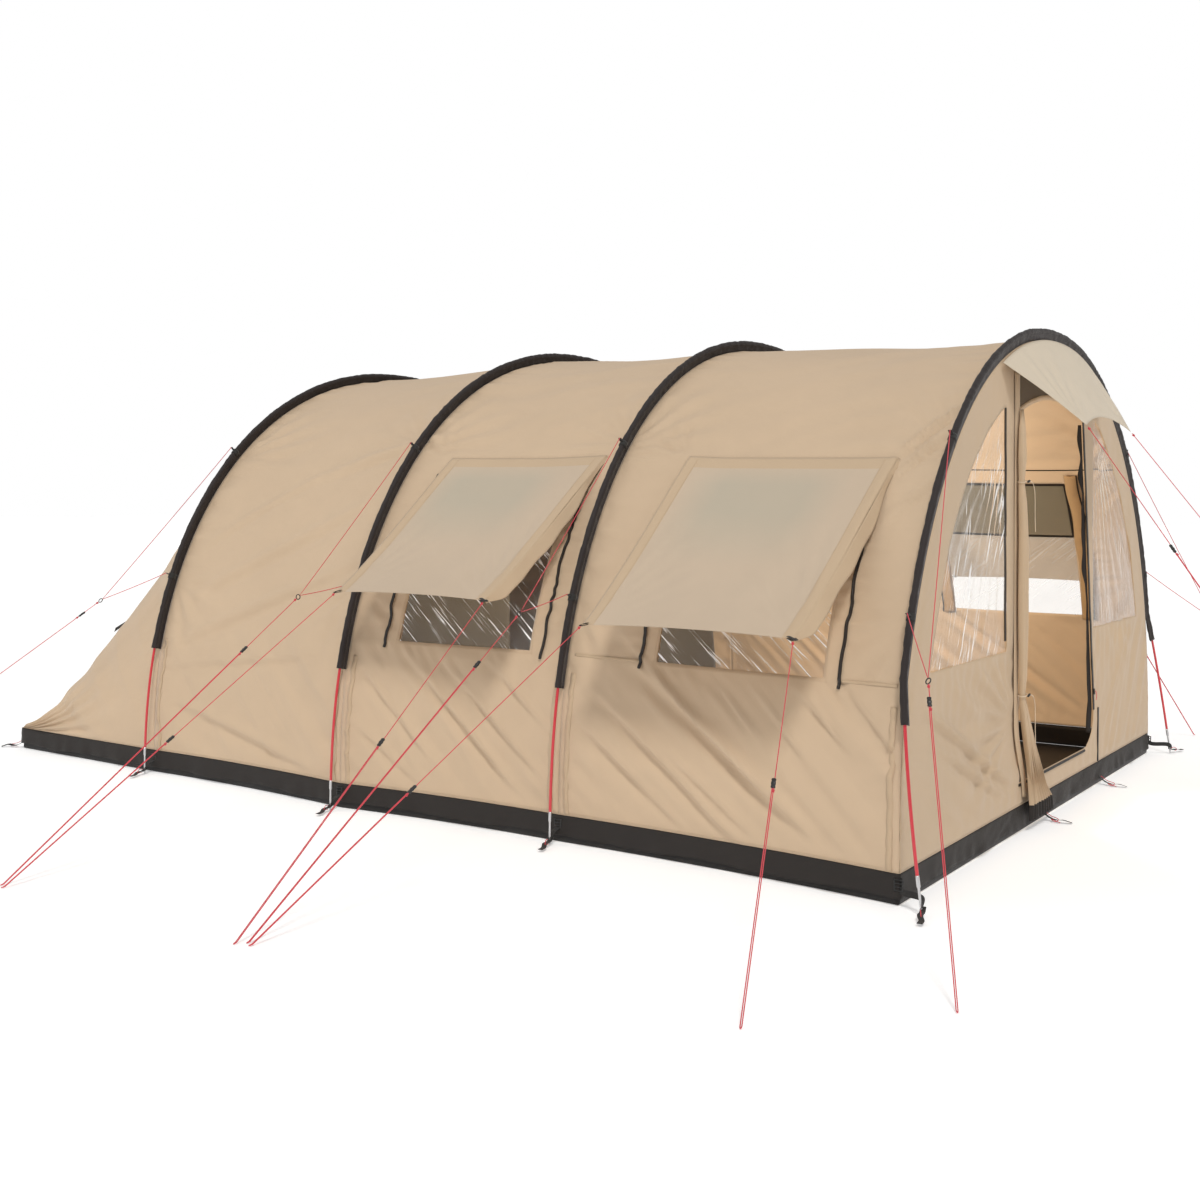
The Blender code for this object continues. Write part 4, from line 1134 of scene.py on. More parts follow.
def make_light():
    world = bpy.data.worlds.new("studio")
    bpy.context.scene.world = world
    world.use_nodes = True
    tree = world.node_tree
    lit = tree.nodes["Background"]
    lit.inputs["Color"].default_value = (1.0, 1.0, 1.0, 1.0)
    lit.inputs["Strength"].default_value = 0.44
    seen = tree.nodes.new("ShaderNodeBackground")
    seen.inputs["Color"].default_value = (1.0, 1.0, 1.0, 1.0)
    seen.inputs["Strength"].default_value = 1.0
    path = tree.nodes.new("ShaderNodeLightPath")
    mix = tree.nodes.new("ShaderNodeMixShader")
    tree.links.new(path.outputs["Is Camera Ray"], mix.inputs[0])
    tree.links.new(lit.outputs[0], mix.inputs[1])
    tree.links.new(seen.outputs[0], mix.inputs[2])
    tree.links.new(mix.outputs[0], tree.nodes["World Output"].inputs["Surface"])
    make_sun("key", (0.44, -0.50, 0.88), 1.62, 12.0, (1.0, 0.985, 0.96))
    make_sun("fill", (-0.75, -0.65, 0.55), 0.30, 40.0, (0.97, 0.985, 1.0))
    inside_light = bpy.data.lights.new("glow_through_the_cloth", "POINT")
    inside_light.shadow_soft_size = 0.35
    inside_light.energy = 85.0
    inside_light.color = (1.0, 0.90, 0.76)
    lamp = link(bpy.data.objects.new("glow_through_the_cloth", inside_light))
    lamp.location = (0.9, 0.1, 1.05)
    lamp.visible_camera = False
    lamp.visible_glossy = False


def make_sun(name, towards, strength, angle, colour):
    light = bpy.data.lights.new(name, "SUN")
    light.energy = strength
    light.angle = math.radians(angle)
    light.color = colour
    sun = link(bpy.data.objects.new(name, light))
    sun.rotation_mode = "QUATERNION"
    sun.rotation_quaternion = Vector(towards).to_track_quat("Z", "Y")


# ================================================================ fly bays and their windows
def make_fly():
    sill, top = girth_at(WINDOW_SILL), girth_at(WINDOW_TOP)
    hem = girth_at(HEM_HEIGHT)
    around = stops([hem, sill, top, GIRTH / 2, GIRTH - top, GIRTH - sill, GIRTH - hem], CELL)
    for number, name in enumerate(("front", "middle", "rear")):
        front, rear = HOOP_X[number], HOOP_X[number + 1]
        edges = WINDOW_EDGES.get(name)
        breaks = [front, rear]
        if edges:
            breaks = [front, behind_front(edges[0]), behind_front(edges[1]), rear]
        along = stops(breaks, CELL)
        x, girth = np.meshgrid(along, around, indexing="ij")
        keep = None
        if edges:
            middle_x = (along[:-1] + along[1:]) / 2
            middle_g = (around[:-1] + around[1:]) / 2
            open_x = (middle_x < breaks[1]) & (middle_x > breaks[2])
            open_g = ((middle_g > sill) & (middle_g < top)) | ((middle_g > GIRTH - top)
                                                               & (middle_g < GIRTH - sill))
            keep = ~(open_x[:, None] & open_g[None, :])
        flat = np.stack([x, girth], axis=-1)
        piece = grid_sheet(f"fly_{name}_panel", fly_surface(x, girth), flat, MATERIALS["sand"], keep,
                           thickness=CLOTH)
        settle(piece, (f"fly_{name}_bay",))
        width, length = front - rear, GIRTH - 2 * hem
        cut = width * length
        if edges:
            cut -= 2 * (breaks[1] - breaks[2]) * (top - sill)
        if edges:
            for side_name, side in SIDES.items():
                make_side_window(name, side_name, side, breaks[1], breaks[2])


def pane_ripple(u, v, seed, height=0.004):
    """The slack of a clear pane: slanting creases and a slow wave."""
    return folds_along(u, v, -38, 0.30, 0.035, height, seed) + folds_along(u, v, 20, 0.4, 0.12, height,
                                                                           seed + 3)


def make_side_window(name, side_name, side, front, rear):
    """Insect mesh above and a clear pane below, sewn into the wall's opening."""
    for part, low, high in (("pane", WINDOW_SILL, WINDOW_RAIL), ("mesh", WINDOW_RAIL, WINDOW_TOP)):
        along = stops([front, rear], CELL)
        around = stops([float(wall_girth(low, side)), float(wall_girth(high, side))], CELL)
        x, girth = np.meshgrid(along, around, indexing="ij")
        edge = np.minimum(np.minimum(front - x, x - rear),
                          np.minimum(np.abs(girth - around[0]), np.abs(girth - around[-1])))
        slack = pane_ripple(x, girth, 70 + side) * (1.0 if part == "pane" else 0.35) * ramp(edge, 0.0, 0.05)
        points = fly_base(x, girth) + normals_of(fly_base, x, girth) * (slack - 0.003)[..., None]
        flat = np.stack([x, girth], axis=-1)
        look = MATERIALS["mesh" if part == "mesh" else "pane_" + side_name]
        piece = grid_sheet(f"window_{name}_{part}_{side_name}", points, flat, look,
                           flip=side > 0, thickness=None)
        settle(piece,
               (f"window_{name}_{side_name}",))
        front - rear


# ================================================================ tail
def tail_base(share, girth):
    """Points of the tail; share 0 at the rear hoop and 1 on its straight bottom edge."""
    angle = angle_of(girth)
    lowest = angle_of(girth_at(HEM_HEIGHT))
    start = fly_base(np.full_like(girth, HOOP_X[3]), girth)
    side = np.clip((angle - math.pi / 2) / (math.pi / 2 - lowest), -1.0, 1.0)
    spread = np.sign(side) * (1.0 - (1.0 - np.abs(side)) ** TAIL_SPREAD)
    end = np.stack([np.full_like(girth, TAIL_X), TAIL_HALF_WIDTH * spread, np.full_like(girth, HEM_HEIGHT)],
                   -1)
    return start + (end - start) * share[..., None]


def tail_folds(share, girth):
    up = np.minimum(girth, GIRTH - girth)
    near = np.where(girth < GIRTH / 2, 0.0, 3.7)
    run = share * (0.9 + 0.5 * ramp(up, 0.2, 2.0))
    out = folds_along(run, up + near, 62, 0.85, 0.080, 0.0110, 81)
    out += folds_along(run, up + near, 20, 1.10, 0.180, 0.0100, 82)
    out += gathers(run, girth, 0.070, 0.10, 0.0045, 83)
    out += fan(run, up, (1.0, 0.12), 150, 80, 11, 0.95, 0.0110, 84)
    return out * ramp(run, 0.0, 0.05) * ramp(1.0 - share, 0.0, 0.03) * ramp(up, 0.09, 0.17)


def tail_surface(share, girth, raised=0.0):
    share, girth = np.broadcast_arrays(np.asarray(share, float), np.asarray(girth, float))
    out = tail_folds(share, girth) + raised
    along = tail_base(share + STEP, girth) - tail_base(share - STEP, girth)
    around = tail_base(share, girth + STEP) - tail_base(share, girth - STEP)
    normal = np.cross(around, along)
    normal /= np.maximum(np.linalg.norm(normal, axis=-1, keepdims=True), 1e-9)
    return tail_base(share, girth) + normal * out[..., None]


def tail_girth_for(across, share):
    """The girth whose line down the tail passes a place across."""
    girths = np.linspace(girth_at(HEM_HEIGHT), GIRTH / 2, 400)
    return float(np.interp(across, tail_base(np.full(400, share), girths)[:, 1], girths))


def make_tail():
    hem = girth_at(HEM_HEIGHT)
    vent = [tail_girth_for(across, sum(VENT_SHARE) / 2) for across in VENT_ACROSS]
    shares = stops([0.0, VENT_SHARE[0], VENT_SHARE[1], 1.0], CELL / 1.3)
    around = stops([hem, vent[0], vent[1], GIRTH / 2, GIRTH - hem], CELL)
    share, girth = np.meshgrid(shares, around, indexing="ij")
    middle_s, middle_g = (shares[:-1] + shares[1:]) / 2, (around[:-1] + around[1:]) / 2
    open_s = (middle_s > VENT_SHARE[0]) & (middle_s < VENT_SHARE[1])
    open_g = (middle_g > vent[0]) & (middle_g < vent[1])
    keep = ~(open_s[:, None] & open_g[None, :])
    flat = np.stack([share * TAIL_LENGTH, girth], axis=-1)
    piece = grid_sheet("tail_panel", tail_surface(share, girth), flat, MATERIALS["sand"], keep)
    settle(piece, ("fly_tail",))
    area = sheet_area(tail_base(share, girth))

    shares = stops(list(VENT_SHARE), CELL / 2)
    around = stops(vent, CELL)
    share, girth = np.meshgrid(shares, around, indexing="ij")
    flat = np.stack([share * TAIL_LENGTH, girth], axis=-1)
    piece = grid_sheet("rear_vent_screen", tail_surface(share, girth, -0.004), flat, MATERIALS["vent"],
                       thickness=None)
    settle(piece, ("rear_vent_mesh",))
    sheet_width(share, girth)
    sheet_height(share, girth)


def sheet_width(share, girth):
    points = tail_base(share[:1], girth[:1])[0]
    return length_of(points)


def sheet_height(share, girth):
    points = tail_base(share[:, :1], girth[:, :1])[:, 0]
    return length_of(points)


def sheet_area(points):
    """Area of a grid of points."""
    across = points[1:, :-1] - points[:-1, :-1]
    along = points[:-1, 1:] - points[:-1, :-1]
    return float(np.linalg.norm(np.cross(across, along), axis=-1).sum())


def make_vent_hood():
    """The stiffened hood above the rear vent: a curved blade with a turned-down lip."""
    node = frame["nodes"]["vent_hood"]
    joint = next(j for j in frame["joints"] if j["child"] == "vent_hood")
    hinge, axis = np.array(joint["pos_m"]), np.array(joint["axis"])
    points = np.array([v.co for v in node.data.vertices])
    away = points - hinge
    reach_dir = away.mean(0) - axis * (away.mean(0) @ axis)
    reach_dir /= np.linalg.norm(reach_dir)
    up_dir = np.cross(reach_dir, axis)
    up_dir *= np.sign(up_dir @ np.array([-0.3, 0.0, 1.0]))
    reach = float((away @ reach_dir).max())
    half = float(np.abs(away @ axis).max())
    shares, across = np.linspace(0.0, 1.0, 17), np.linspace(-1.0, 1.0, 25)
    share, side = np.meshgrid(shares, across, indexing="ij")
    bulge = 0.018 * share * (1 - side ** 2) + 0.0012 * np.sin(9 * side + 5 * share)
    lip = -0.020 * ramp(share, 0.86, 1.0)
    blade = (hinge + share[..., None] * reach_dir * reach * (1 - 0.02 * side[..., None] ** 2)
             + side[..., None] * axis * half * (1 - 0.03 * share[..., None])
             + (bulge + lip)[..., None] * up_dir)
    flat = np.stack([share * reach, side * half], axis=-1)
    piece = grid_sheet("vent_hood_cover", blade, flat, MATERIALS["skirt"], thickness=0.0022)
    settle(piece, ("vent_hood",), "vent_hood")


# ================================================================ awnings and visor
def second_cloth(piece, cells, material):
    """Gives the marked cells of a whole grid sheet another cloth."""
    piece.data.materials.append(MATERIALS[material])
    piece.data.polygons.foreach_set("material_index", cells.ravel().astype(np.int32))


def awning_base(name, side, across, drop):
    """Points of an awning; across 0 at its front edge, drop 0 at the wall and 1 at the outer edge."""
    hinge_front, hinge_rear = AWNING_HINGE[name]
    x = behind_front(hinge_front + across * (hinge_rear - hinge_front))
    girth = wall_girth(AWNING_HINGE_HEIGHT, side)
    top = fly_surface(x, np.full_like(x, girth), 0.007)
    corner_front, corner_rear = AWNING_CORNERS[name]
    out_x = behind_front(corner_front + across * (corner_rear - corner_front))
    bow = 4 * across * (1 - across)
    outer = np.stack([out_x, np.full_like(out_x, side * AWNING_OUT) - side * 0.010 * bow,
                      AWNING_HEIGHT[name] + AWNING_SAG * bow * 0.35], axis=-1)
    points = top + (outer - top) * drop[..., None]
    points[..., 2] -= AWNING_SAG * 6.75 * drop ** 2 * (1 - drop) * (0.5 + 0.5 * bow)
    return points


def make_awnings():
    for name in AWNING_HINGE:
        wide = AWNING_HINGE[name][1] - AWNING_HINGE[name][0]
        for side_name, side in SIDES.items():
            deep = AWNING_DEPTH
            hem_u, hem_v = AWNING_HEM / wide, AWNING_HEM / deep
            across = stops([0.0, hem_u, 1 - hem_u, 1.0], CELL / wide)
            drops = stops([0.0, hem_v, 1 - hem_v * 0.35, 1.0], CELL / deep)
            u, v = np.meshgrid(across, drops, indexing="ij")
            points = awning_base(name, side, u, v)
            out = folds_along(u * wide, v * deep, 80, 0.60, 0.13, 0.0060, 90 + side)
            out += fan(u * wide, v * deep, (0.0, deep), -55, 40, 6, 0.60, 0.0040, 91)
            out += fan(u * wide, v * deep, (wide, deep), -125, 40, 6, 0.60, 0.0040, 92)
            out += gathers(v * deep, u * wide, 0.055, 0.06, 0.0022, 93)
            out *= ramp(v, 0.08, 0.35) * ramp(1 - v, 0.0, 0.06)
            doubled = (u < hem_u) | (u > 1 - hem_u) | (v < hem_v)
            points[..., 2] += out + np.where(doubled, 0.0012, 0.0)
            hem = np.zeros((len(across) - 1, len(drops) - 1), bool)
            hem[(across[:-1] < hem_u - 1e-6) | (across[:-1] > 1 - hem_u - 1e-6)] = True
            hem[:, (drops[:-1] < hem_v - 1e-6)] = True
            flat = np.stack([u * wide, v * deep], axis=-1)
            piece = grid_sheet(f"awning_{name}_cloth_{side_name}", points, flat, MATERIALS["awning"],
                               flip=side < 0)
            second_cloth(piece, hem, "sand_pale")
            settle(piece, (f"awning_{name}_{side_name}",))
            area = sheet_area(awning_base(name, side, u, v))
            make_awning_flap(name, side_name, side)
            make_awning_tabs(name, side_name, side)


def make_awning_flap(name, side_name, side):
    """The narrow side flap that runs from the awning's front edge back to the wall, cut concave."""
    drops = np.linspace(0.0, 1.0, 46)
    wides = np.linspace(0.0, 1.0, 8)
    v, w = np.meshgrid(drops, wides, indexing="ij")
    edge = awning_base(name, side, np.zeros_like(v), v)
    width = 0.012 + 0.034 * ramp(v, 0.05, 0.45) * (1 - ramp(v, 0.90, 1.0))
    points = edge + 0.0
    points[..., 0] += w * width * 0.55
    points[..., 1] -= side * w * width * 0.55
    points[..., 2] -= w * width * 0.75
    points[..., 2] += 0.003 * w * np.sin(v * 31)
    points[..., 0] += 0.003 * w * np.sin(v * 23 + 1)
    flat = np.stack([w * 0.08, v * AWNING_DEPTH], axis=-1)
    piece = grid_sheet(f"awning_{name}_flap_{side_name}", points, flat, MATERIALS["sand_pale"], flip=side < 0)
    settle(piece)
    sheet_area(points)


def make_awning_tabs(name, side_name, side):
    """Black webbing tabs at the awning's two outer corners."""
    parts = []
    for k in (0.0, 1.0):
        corner = awning_base(name, side, np.array([k]), np.array([1.0]))[0]
        inward = awning_base(name, side, np.array([0.5]), np.array([0.8]))[0] - corner
        inward /= np.linalg.norm(inward)
        route = [corner + inward * 0.022 + (0, 0, 0.003), corner - inward * 0.002 + (0, 0, 0.002),
                 corner - inward * 0.010, corner - inward * 0.002 - (0, 0, 0.003),
                 corner + inward * 0.022 - (0, 0, 0.004)]
        parts.append(ribbon(f"tab_{name}_{side_name}_{int(k)}", route, 0.022, 0.0014))
    settle(joined(f"awning_{name}_tabs_{side_name}", parts))


def ribbon(name, route, width, thickness, material="webbing", facing=None):
    """A flat strap along a smooth curve; facing gives the way its flat side looks."""
    points = spline_points(route, 0.004)
    sides = None if facing is None else facing_sides(points, facing)
    outline = flat_section(width, thickness)
    return swept(name, points, lambda k: outline, MATERIALS[material], sides, smooth=False)


def visor_base(share, drop):
    """Points of the visor; share runs across it and drop from the hoop to its outer edge."""
    low = math.acos((VISOR_HALF_WIDTH / (HOOP_HALF[0] - FLY_BELOW_POLE)) ** (SIDE_FULLNESS / 2))
    angle = low + (math.pi - 2 * low) * share
    across, height = arch(HOOP_HALF[0] - FLY_BELOW_POLE, HOOP_TOP[0] - FLY_BELOW_POLE, angle)
    top = np.stack([np.full_like(across, HOOP_X[0] + VISOR_OFF_WALL), across, height], axis=-1)
    bow = 4 * share * (1 - share)
    edge = np.stack([np.full_like(across, HOOP_X[0] + VISOR_CORNER_OUT) - 0.020 * bow,
                     VISOR_CORNER_ACROSS * (2 * share - 1), VISOR_CORNER_HEIGHT + VISOR_EDGE_RISE * bow],
                    axis=-1)
    return top + (edge - top) * drop[..., None]


def make_visor():
    share, drop = np.meshgrid(stops([0.0, 1.0], 0.011), stops([0.0, 0.93, 1.0], 0.035), indexing="ij")
    points = visor_base(share, drop)
    u, v = share * VISOR_WIDTH, drop * VISOR_DEPTH
    out = fan(u, v, (0.0, VISOR_DEPTH), -35, 40, 5, 0.75, 0.0050, 101)
    out += fan(u, v, (VISOR_WIDTH, VISOR_DEPTH), -145, 40, 5, 0.75, 0.0050, 102)
    out += folds_along(u, v, 55, 0.30, 0.12, 0.0045, 103)
    points[..., 0] += out * ramp(np.minimum(drop, 1 - drop), 0.0, 0.15)
    points[..., 2] += 0.014 * np.sin(math.pi * drop) * (1 - 0.6 * np.abs(2 * share - 1))
    piece = grid_sheet("visor_cloth", points, np.stack([u, v], axis=-1), MATERIALS["visor"])
    settle(piece, ("visor",))
    area = sheet_area(visor_base(share, drop))


# ================================================================ front wall and cabin wall
def wall_outline(inset, bottom, hoop=0, count=90):
    half, top = HOOP_HALF[hoop] - inset, HOOP_TOP[hoop] - inset
    start = float(angle_at_height(bottom, top))
    angle = np.linspace(start, math.pi - start, count)
    across, height = arch(half, top, angle)
    tuck = np.sign(across) * FOOT_TUCK * np.clip(1.0 - height / SLEEVE_END_HEIGHT, 0.0, None)
    return np.stack([across - tuck, height], axis=1)


def door_outline(shrink=0.0):
    left, low, high = DOOR_LEFT + shrink, DOOR_RIGHT_LOW - shrink, DOOR_RIGHT_HIGH - shrink
    sill, head = DOOR_SILL + shrink, DOOR_HEAD - shrink
    turns = np.linspace(0.0, math.pi / 2, 10)
    corner = np.stack([low - DOOR_CORNER * (1 - np.sin(turns)), sill + DOOR_CORNER * (1 - np.cos(turns))], 1)
    share = np.linspace(0.0, 1.0, 20)
    top = np.stack([high + (left - high) * share, head + DOOR_RISE * 4 * share * (1 - share)], 1)
    return np.vstack([[(left, sill)], corner, top])


def pane_outline(side, grow=0.0):
    inner, sill, head = PANE_INNER - grow, PANE_SILL - grow, PANE_HEAD + grow
    inset = PANE_FROM_HOOP - grow
    half, top = HOOP_HALF[0] - inset, HOOP_TOP[0] - inset
    angles = np.linspace(float(angle_at_height(sill, top)), float(angle_at_height(head, top)), 24)
    across, height = arch(half, top, angles)
    curve = np.stack([-side * across, height], 1)
    return np.vstack([[(side * inner, sill)], curve, [(side * inner, head)]])


def vent_outline(shrink=0.0):
    left, right = DOOR_LEFT + shrink, DOOR_RIGHT_HIGH - shrink
    low, high = DOOR_HEAD + VENT_CLEAR + shrink, VENT_HEAD - shrink
    share = np.linspace(0.0, 1.0, 16)
    across = left + (right - left) * share
    rise = DOOR_RISE * 4 * share * (1 - share)
    bottom = np.stack([across, low + rise], 1)
    top = np.stack([across, high - 0.04 + rise * 0.6], 1)
    return np.vstack([bottom, top[::-1]])


def front_folds(y, z):
    """How far the front wall stands out, in x."""
    low = 1 - ramp(z, 0.62, 0.74)
    left = (y < DOOR_LEFT)
    right = (y > 0.5)
    out = low * left * folds_along(y, z, -24, 0.55, 0.055, 0.0100, 111)
    out += low * left * crease(y, z, (-1.42, 0.60), (-0.50, 0.20), 0.016, 0.015)
    out += low * left * crease(y, z, (-1.36, 0.48), (-0.52, 0.14), 0.013, 0.011)
    out += low * left * fan(y, z, (-0.47, 0.44), 165, 60, 8, 0.75, 0.0090, 112)
    out += low * right * folds_along(y, z, 62, 0.55, 0.055, 0.0100, 113)
    out += low * right * crease(y, z, (0.72, 0.22), (1.20, 0.72), 0.016, 0.009)
    out += low * gathers(PANE_SILL - z, y, 0.075, 0.16, 0.0090, 114) * (np.abs(y) > PANE_INNER - 0.03)
    out += low * gathers(z - HEM_HEIGHT, y, 0.10, 0.07, 0.0035, 115)
    out += (1 - low) * folds_along(y, z, 80, 0.6, 0.08, 0.0050, 116)
    inset = wall_edge_distance(y, z)
    out += gathers(inset, z * 1.3 + np.abs(y), 0.060, 0.06, 0.0030, 117)
    return out * ramp(inset, 0.0, 0.05) * ramp(z, 0.10, 0.16)


def wall_edge_distance(y, z):
    """About how far a point of the front wall is from the hoop."""
    half, top = HOOP_HALF[0] - FLY_BELOW_POLE, HOOP_TOP[0] - FLY_BELOW_POLE
    radius = (np.abs(y) / half) ** SIDE_FULLNESS + (np.clip(z, 0.0, None) / top) ** TOP_FULLNESS
    return np.clip(1.0 - radius ** (1 / 2.19), 0.0, 1.0) * half


def front_surface(y, z, raised=0.0):
    x = HOOP_X[0] + 0.0015 + front_folds(y, z) * 1.1 + raised
    return np.stack([x, y, z], axis=1)


def make_front_wall():
    outline = wall_outline(FLY_BELOW_POLE + 0.001, HEM_HEIGHT)
    holes = [door_outline(), vent_outline(), pane_outline(-1), pane_outline(1)]
    piece = panel_sheet("front_wall_panel", outline, holes, front_surface, MATERIALS["sand_pale"], 0.014)
    settle(piece, ("front_wall",))
    for side_name, side in SIDES.items():
        make_front_pane(side_name, side)
    make_door_vent()


def pane_slack(side):
    """Creases of a front pane: a fan from its top inner corner and loose waves."""
    def place(y, z):
        corner = (side * PANE_INNER, PANE_HEAD)
        middle = -115 if side < 0 else -65
        out = fan(y, z, corner, middle, 42, 12, 1.0, 0.0070, 121)
        out += folds_along(y, z, 68 if side < 0 else 112, 0.5, 0.045, 0.0045, 122)
        out += gathers(z - PANE_SILL, y, 0.045, 0.05, 0.0040, 123)
        edge = np.minimum(np.abs(y) - PANE_INNER, z - PANE_SILL)
        out *= ramp(edge, 0.0, 0.04) * ramp(wall_edge_distance(y, z) - PANE_FROM_HOOP + FLY_BELOW_POLE,
                                            -0.02, 0.04)
        return np.stack([HOOP_X[0] - 0.001 + out, y, z], axis=1)
    return place


def make_front_pane(side_name, side):
    outline = pane_outline(side, 0.004)
    piece = panel_sheet(f"front_pane_{side_name}", outline, [], pane_slack(side),
                        MATERIALS["front_pane_" + side_name],
                        0.012, thickness=None)
    settle(piece, ("front_window_" + side_name,))


def make_door_vent():
    outline = vent_outline(-0.003)
    piece = panel_sheet("door_vent_screen", outline, [], lambda y,
                        z: np.stack([HOOP_X[0] + 0 * y - 0.001, y, z], 1),
                        MATERIALS["vent"], 0.02, thickness=None)
    settle(piece, ("door_vent_mesh",))


def make_cabin_wall():
    outline = wall_outline(CABIN_INSET, HEM_HEIGHT, hoop=2)
    half = CABIN_DOOR_HALF
    turns = np.linspace(0.0, math.pi, 24)
    arc = np.stack([half * np.cos(turns), CABIN_DOOR_HEAD - half + half * np.sin(turns)], 1)
    doorway = np.vstack([[(-half, CABIN_DOOR_SILL), (half, CABIN_DOOR_SILL)], arc])
    x = HOOP_X[2] - CABIN_BEHIND_HOOP

    def place(y, z):
        out = folds_along(y, z, 84, 0.8, 0.11, 0.010, 131) + folds_along(y, z, 35, 0.5, 0.2, 0.008, 132)
        return np.stack([x + out, y, z], axis=1)

    piece = panel_sheet("cabin_wall_panel", outline, [doorway], place, MATERIALS["cabin"], 0.025)
    settle(piece, ("cabin_wall",))


# ================================================================ the rolled door
# height, centre across, half width across, half depth
DOOR_BUNDLE = (
    (0.042, -0.245, 0.140, 0.016), (0.100, -0.262, 0.128, 0.018), (0.160, -0.310, 0.096, 0.018),
    (0.330, -0.405, 0.046, 0.016), (0.480, -0.462, 0.020, 0.012), (0.530, -0.472, 0.012, 0.009),
    (0.600, -0.474, 0.019, 0.012), (0.800, -0.478, 0.025, 0.014), (1.050, -0.480, 0.025, 0.014),
    (1.250, -0.480, 0.020, 0.012), (1.330, -0.482, 0.011, 0.009), (1.420, -0.480, 0.018, 0.012),
    (1.520, -0.468, 0.018, 0.009), (1.600, -0.452, 0.010, 0.003),
)
DOOR_PLEATS = 9


def make_rolled_door():
    """The door panel gathered into upright pleats, tied twice, its hem let out over the sill."""
    table = np.array(DOOR_BUNDLE)
    heights = stops([table[0, 0], table[-1, 0]], 0.012)
    centre, wide, deep = (np.interp(heights, table[:, 0], table[:, k]) for k in (1, 2, 3))
    across = np.linspace(0.0, 1.0, 20 * DOOR_PLEATS + 1)
    phase = across * DOOR_PLEATS * 2 * math.pi
    size = 0.72 + 0.28 * wander(across * DOOR_PLEATS, 1.0, 141)
    z = heights[:, None]
    open_hem = 1 - ramp(z, 0.10, 0.42)
    pleat = deep[:, None] * (1 - 0.45 * open_hem) * size * np.sin(phase + 0.8 * wander(z, 0.30, 142))
    drift = 0.010 * wander(z, 0.22, 143) * (1 - open_hem)
    spread = 0.22 * wide[:, None] * (1 - open_hem) * np.cos(phase)
    y = centre[:, None] + wide[:, None] * (2 * across - 1) + spread + drift
    crown = np.sqrt(np.clip(1 - (2 * across - 1) ** 2, 0.0, 1.0)) * deep[:, None] * 0.35
    x = HOOP_X[0] + 0.018 + deep[:, None] + pleat * 0.95 + crown + 0 * y
    points = np.stack([x, y, z + 0 * y], axis=-1)
    flat = np.stack([across + 0 * y, z + 0 * y], axis=-1)
    hem = np.zeros((len(heights) - 1, len(across) - 1), bool)
    hem[heights[:-1] < HEM_HEIGHT] = True
    piece = grid_sheet("rolled_door_cloth", points, flat, MATERIALS["sand_pale"], thickness=0.0007)
    second_cloth(piece, hem, "skirt")
    settle(piece, ("rolled_door",))
    sheet_area(points)
    make_door_ties()


def make_door_ties():
    """Two toggles with their loops round the bundle, and the loose tails of their cords."""
    for number, (height, centre, wide, deep) in enumerate(((1.330, -0.482, 0.014, 0.011),
                                                           (0.530, -0.472, 0.014, 0.011))):
        middle = np.array([HOOP_X[0] + 0.020 + deep, centre, height])
        turns = np.linspace(0.0, 2 * math.pi, 33)
        loop = middle + np.stack([1.55 * deep * np.cos(turns), 1.45 * wide * np.sin(turns),
                                  0.004 * np.sin(turns)], 1)
        band = swept(f"door_tie_band_{number}", loop, lambda k: circle(0.0018, 6), MATERIALS["tie"])
        toggle_at = middle + (deep * 1.55 + 0.004, wide * 0.5, 0.0)
        toggle = swept(f"door_toggle_{number}",
                       eased(toggle_at - (0, 0.011, 0.003), toggle_at + (0, 0.011, 0.003), 9),
                       lambda k: circle(0.0052 * (1 - 0.35 * abs(k - 4) / 4), 10), MATERIALS["plastic"])
        settle(band)
        settle(toggle)
        drop = 0.19
        route = [toggle_at + (0.002, 0.010, 0.0), toggle_at + (0.004, 0.030, -0.004),
                 toggle_at + (0.004, 0.055, -0.030),
                 toggle_at + (0.003, 0.066, -0.080), toggle_at + (0.002, 0.070, -0.130),
                 toggle_at + (0.001, 0.078, -drop)]
        points = spline_points(route, 0.006)
        tail = settle(cord_piece(f"door_tie_tail_{number}", points, "tie", 0.0028))


# ================================================================ skirt and groundsheet
def footprint(inset, per_bay=60):
    """The tent's outline on the ground, from the front near corner back along the near wall."""
    hem = girth_at(HEM_HEIGHT)
    along = np.concatenate([np.linspace(HOOP_X[k], HOOP_X[k + 1], per_bay, endpoint=False) for k in range(3)])
    wall = fly_base(along, np.full_like(along, hem))[:, :2]
    rear = fly_base(np.array([HOOP_X[3]]), np.array([hem]))[0, :2]
    corner = np.array([TAIL_X, -TAIL_HALF_WIDTH])
    share = np.linspace(0.0, 1.0, per_bay)[:, None]
    side = np.vstack([wall, rear + (corner - rear) * share])
    side[:, 1] += inset
    side[:, 0] = np.maximum(side[:, 0], TAIL_X + inset)
    side[:, 0] = np.minimum(side[:, 0], HOOP_X[0] + 0.0025 - inset)
    mirrored = side[::-1] * (1, -1)
    back = np.linspace(side[-1], mirrored[0], 3 * per_bay)[1:-1]
    front = np.linspace(mirrored[-1], side[0], 3 * per_bay)[1:-1]
    return np.vstack([side, back, mirrored, front])


def around_distance(outline):
    return distances(np.vstack([outline, outline[:1]]))


def outward_of(outline):
    before, after = np.roll(outline, 1, axis=0), np.roll(outline, -1, axis=0)
    run = after - before
    normal = np.stack([run[:, 1], -run[:, 0]], 1)
    normal /= np.linalg.norm(normal, axis=1, keepdims=True)
    centre = outline.mean(0)
    flip = np.sign(((outline - centre) * normal).sum(1))
    return normal * flip[:, None]


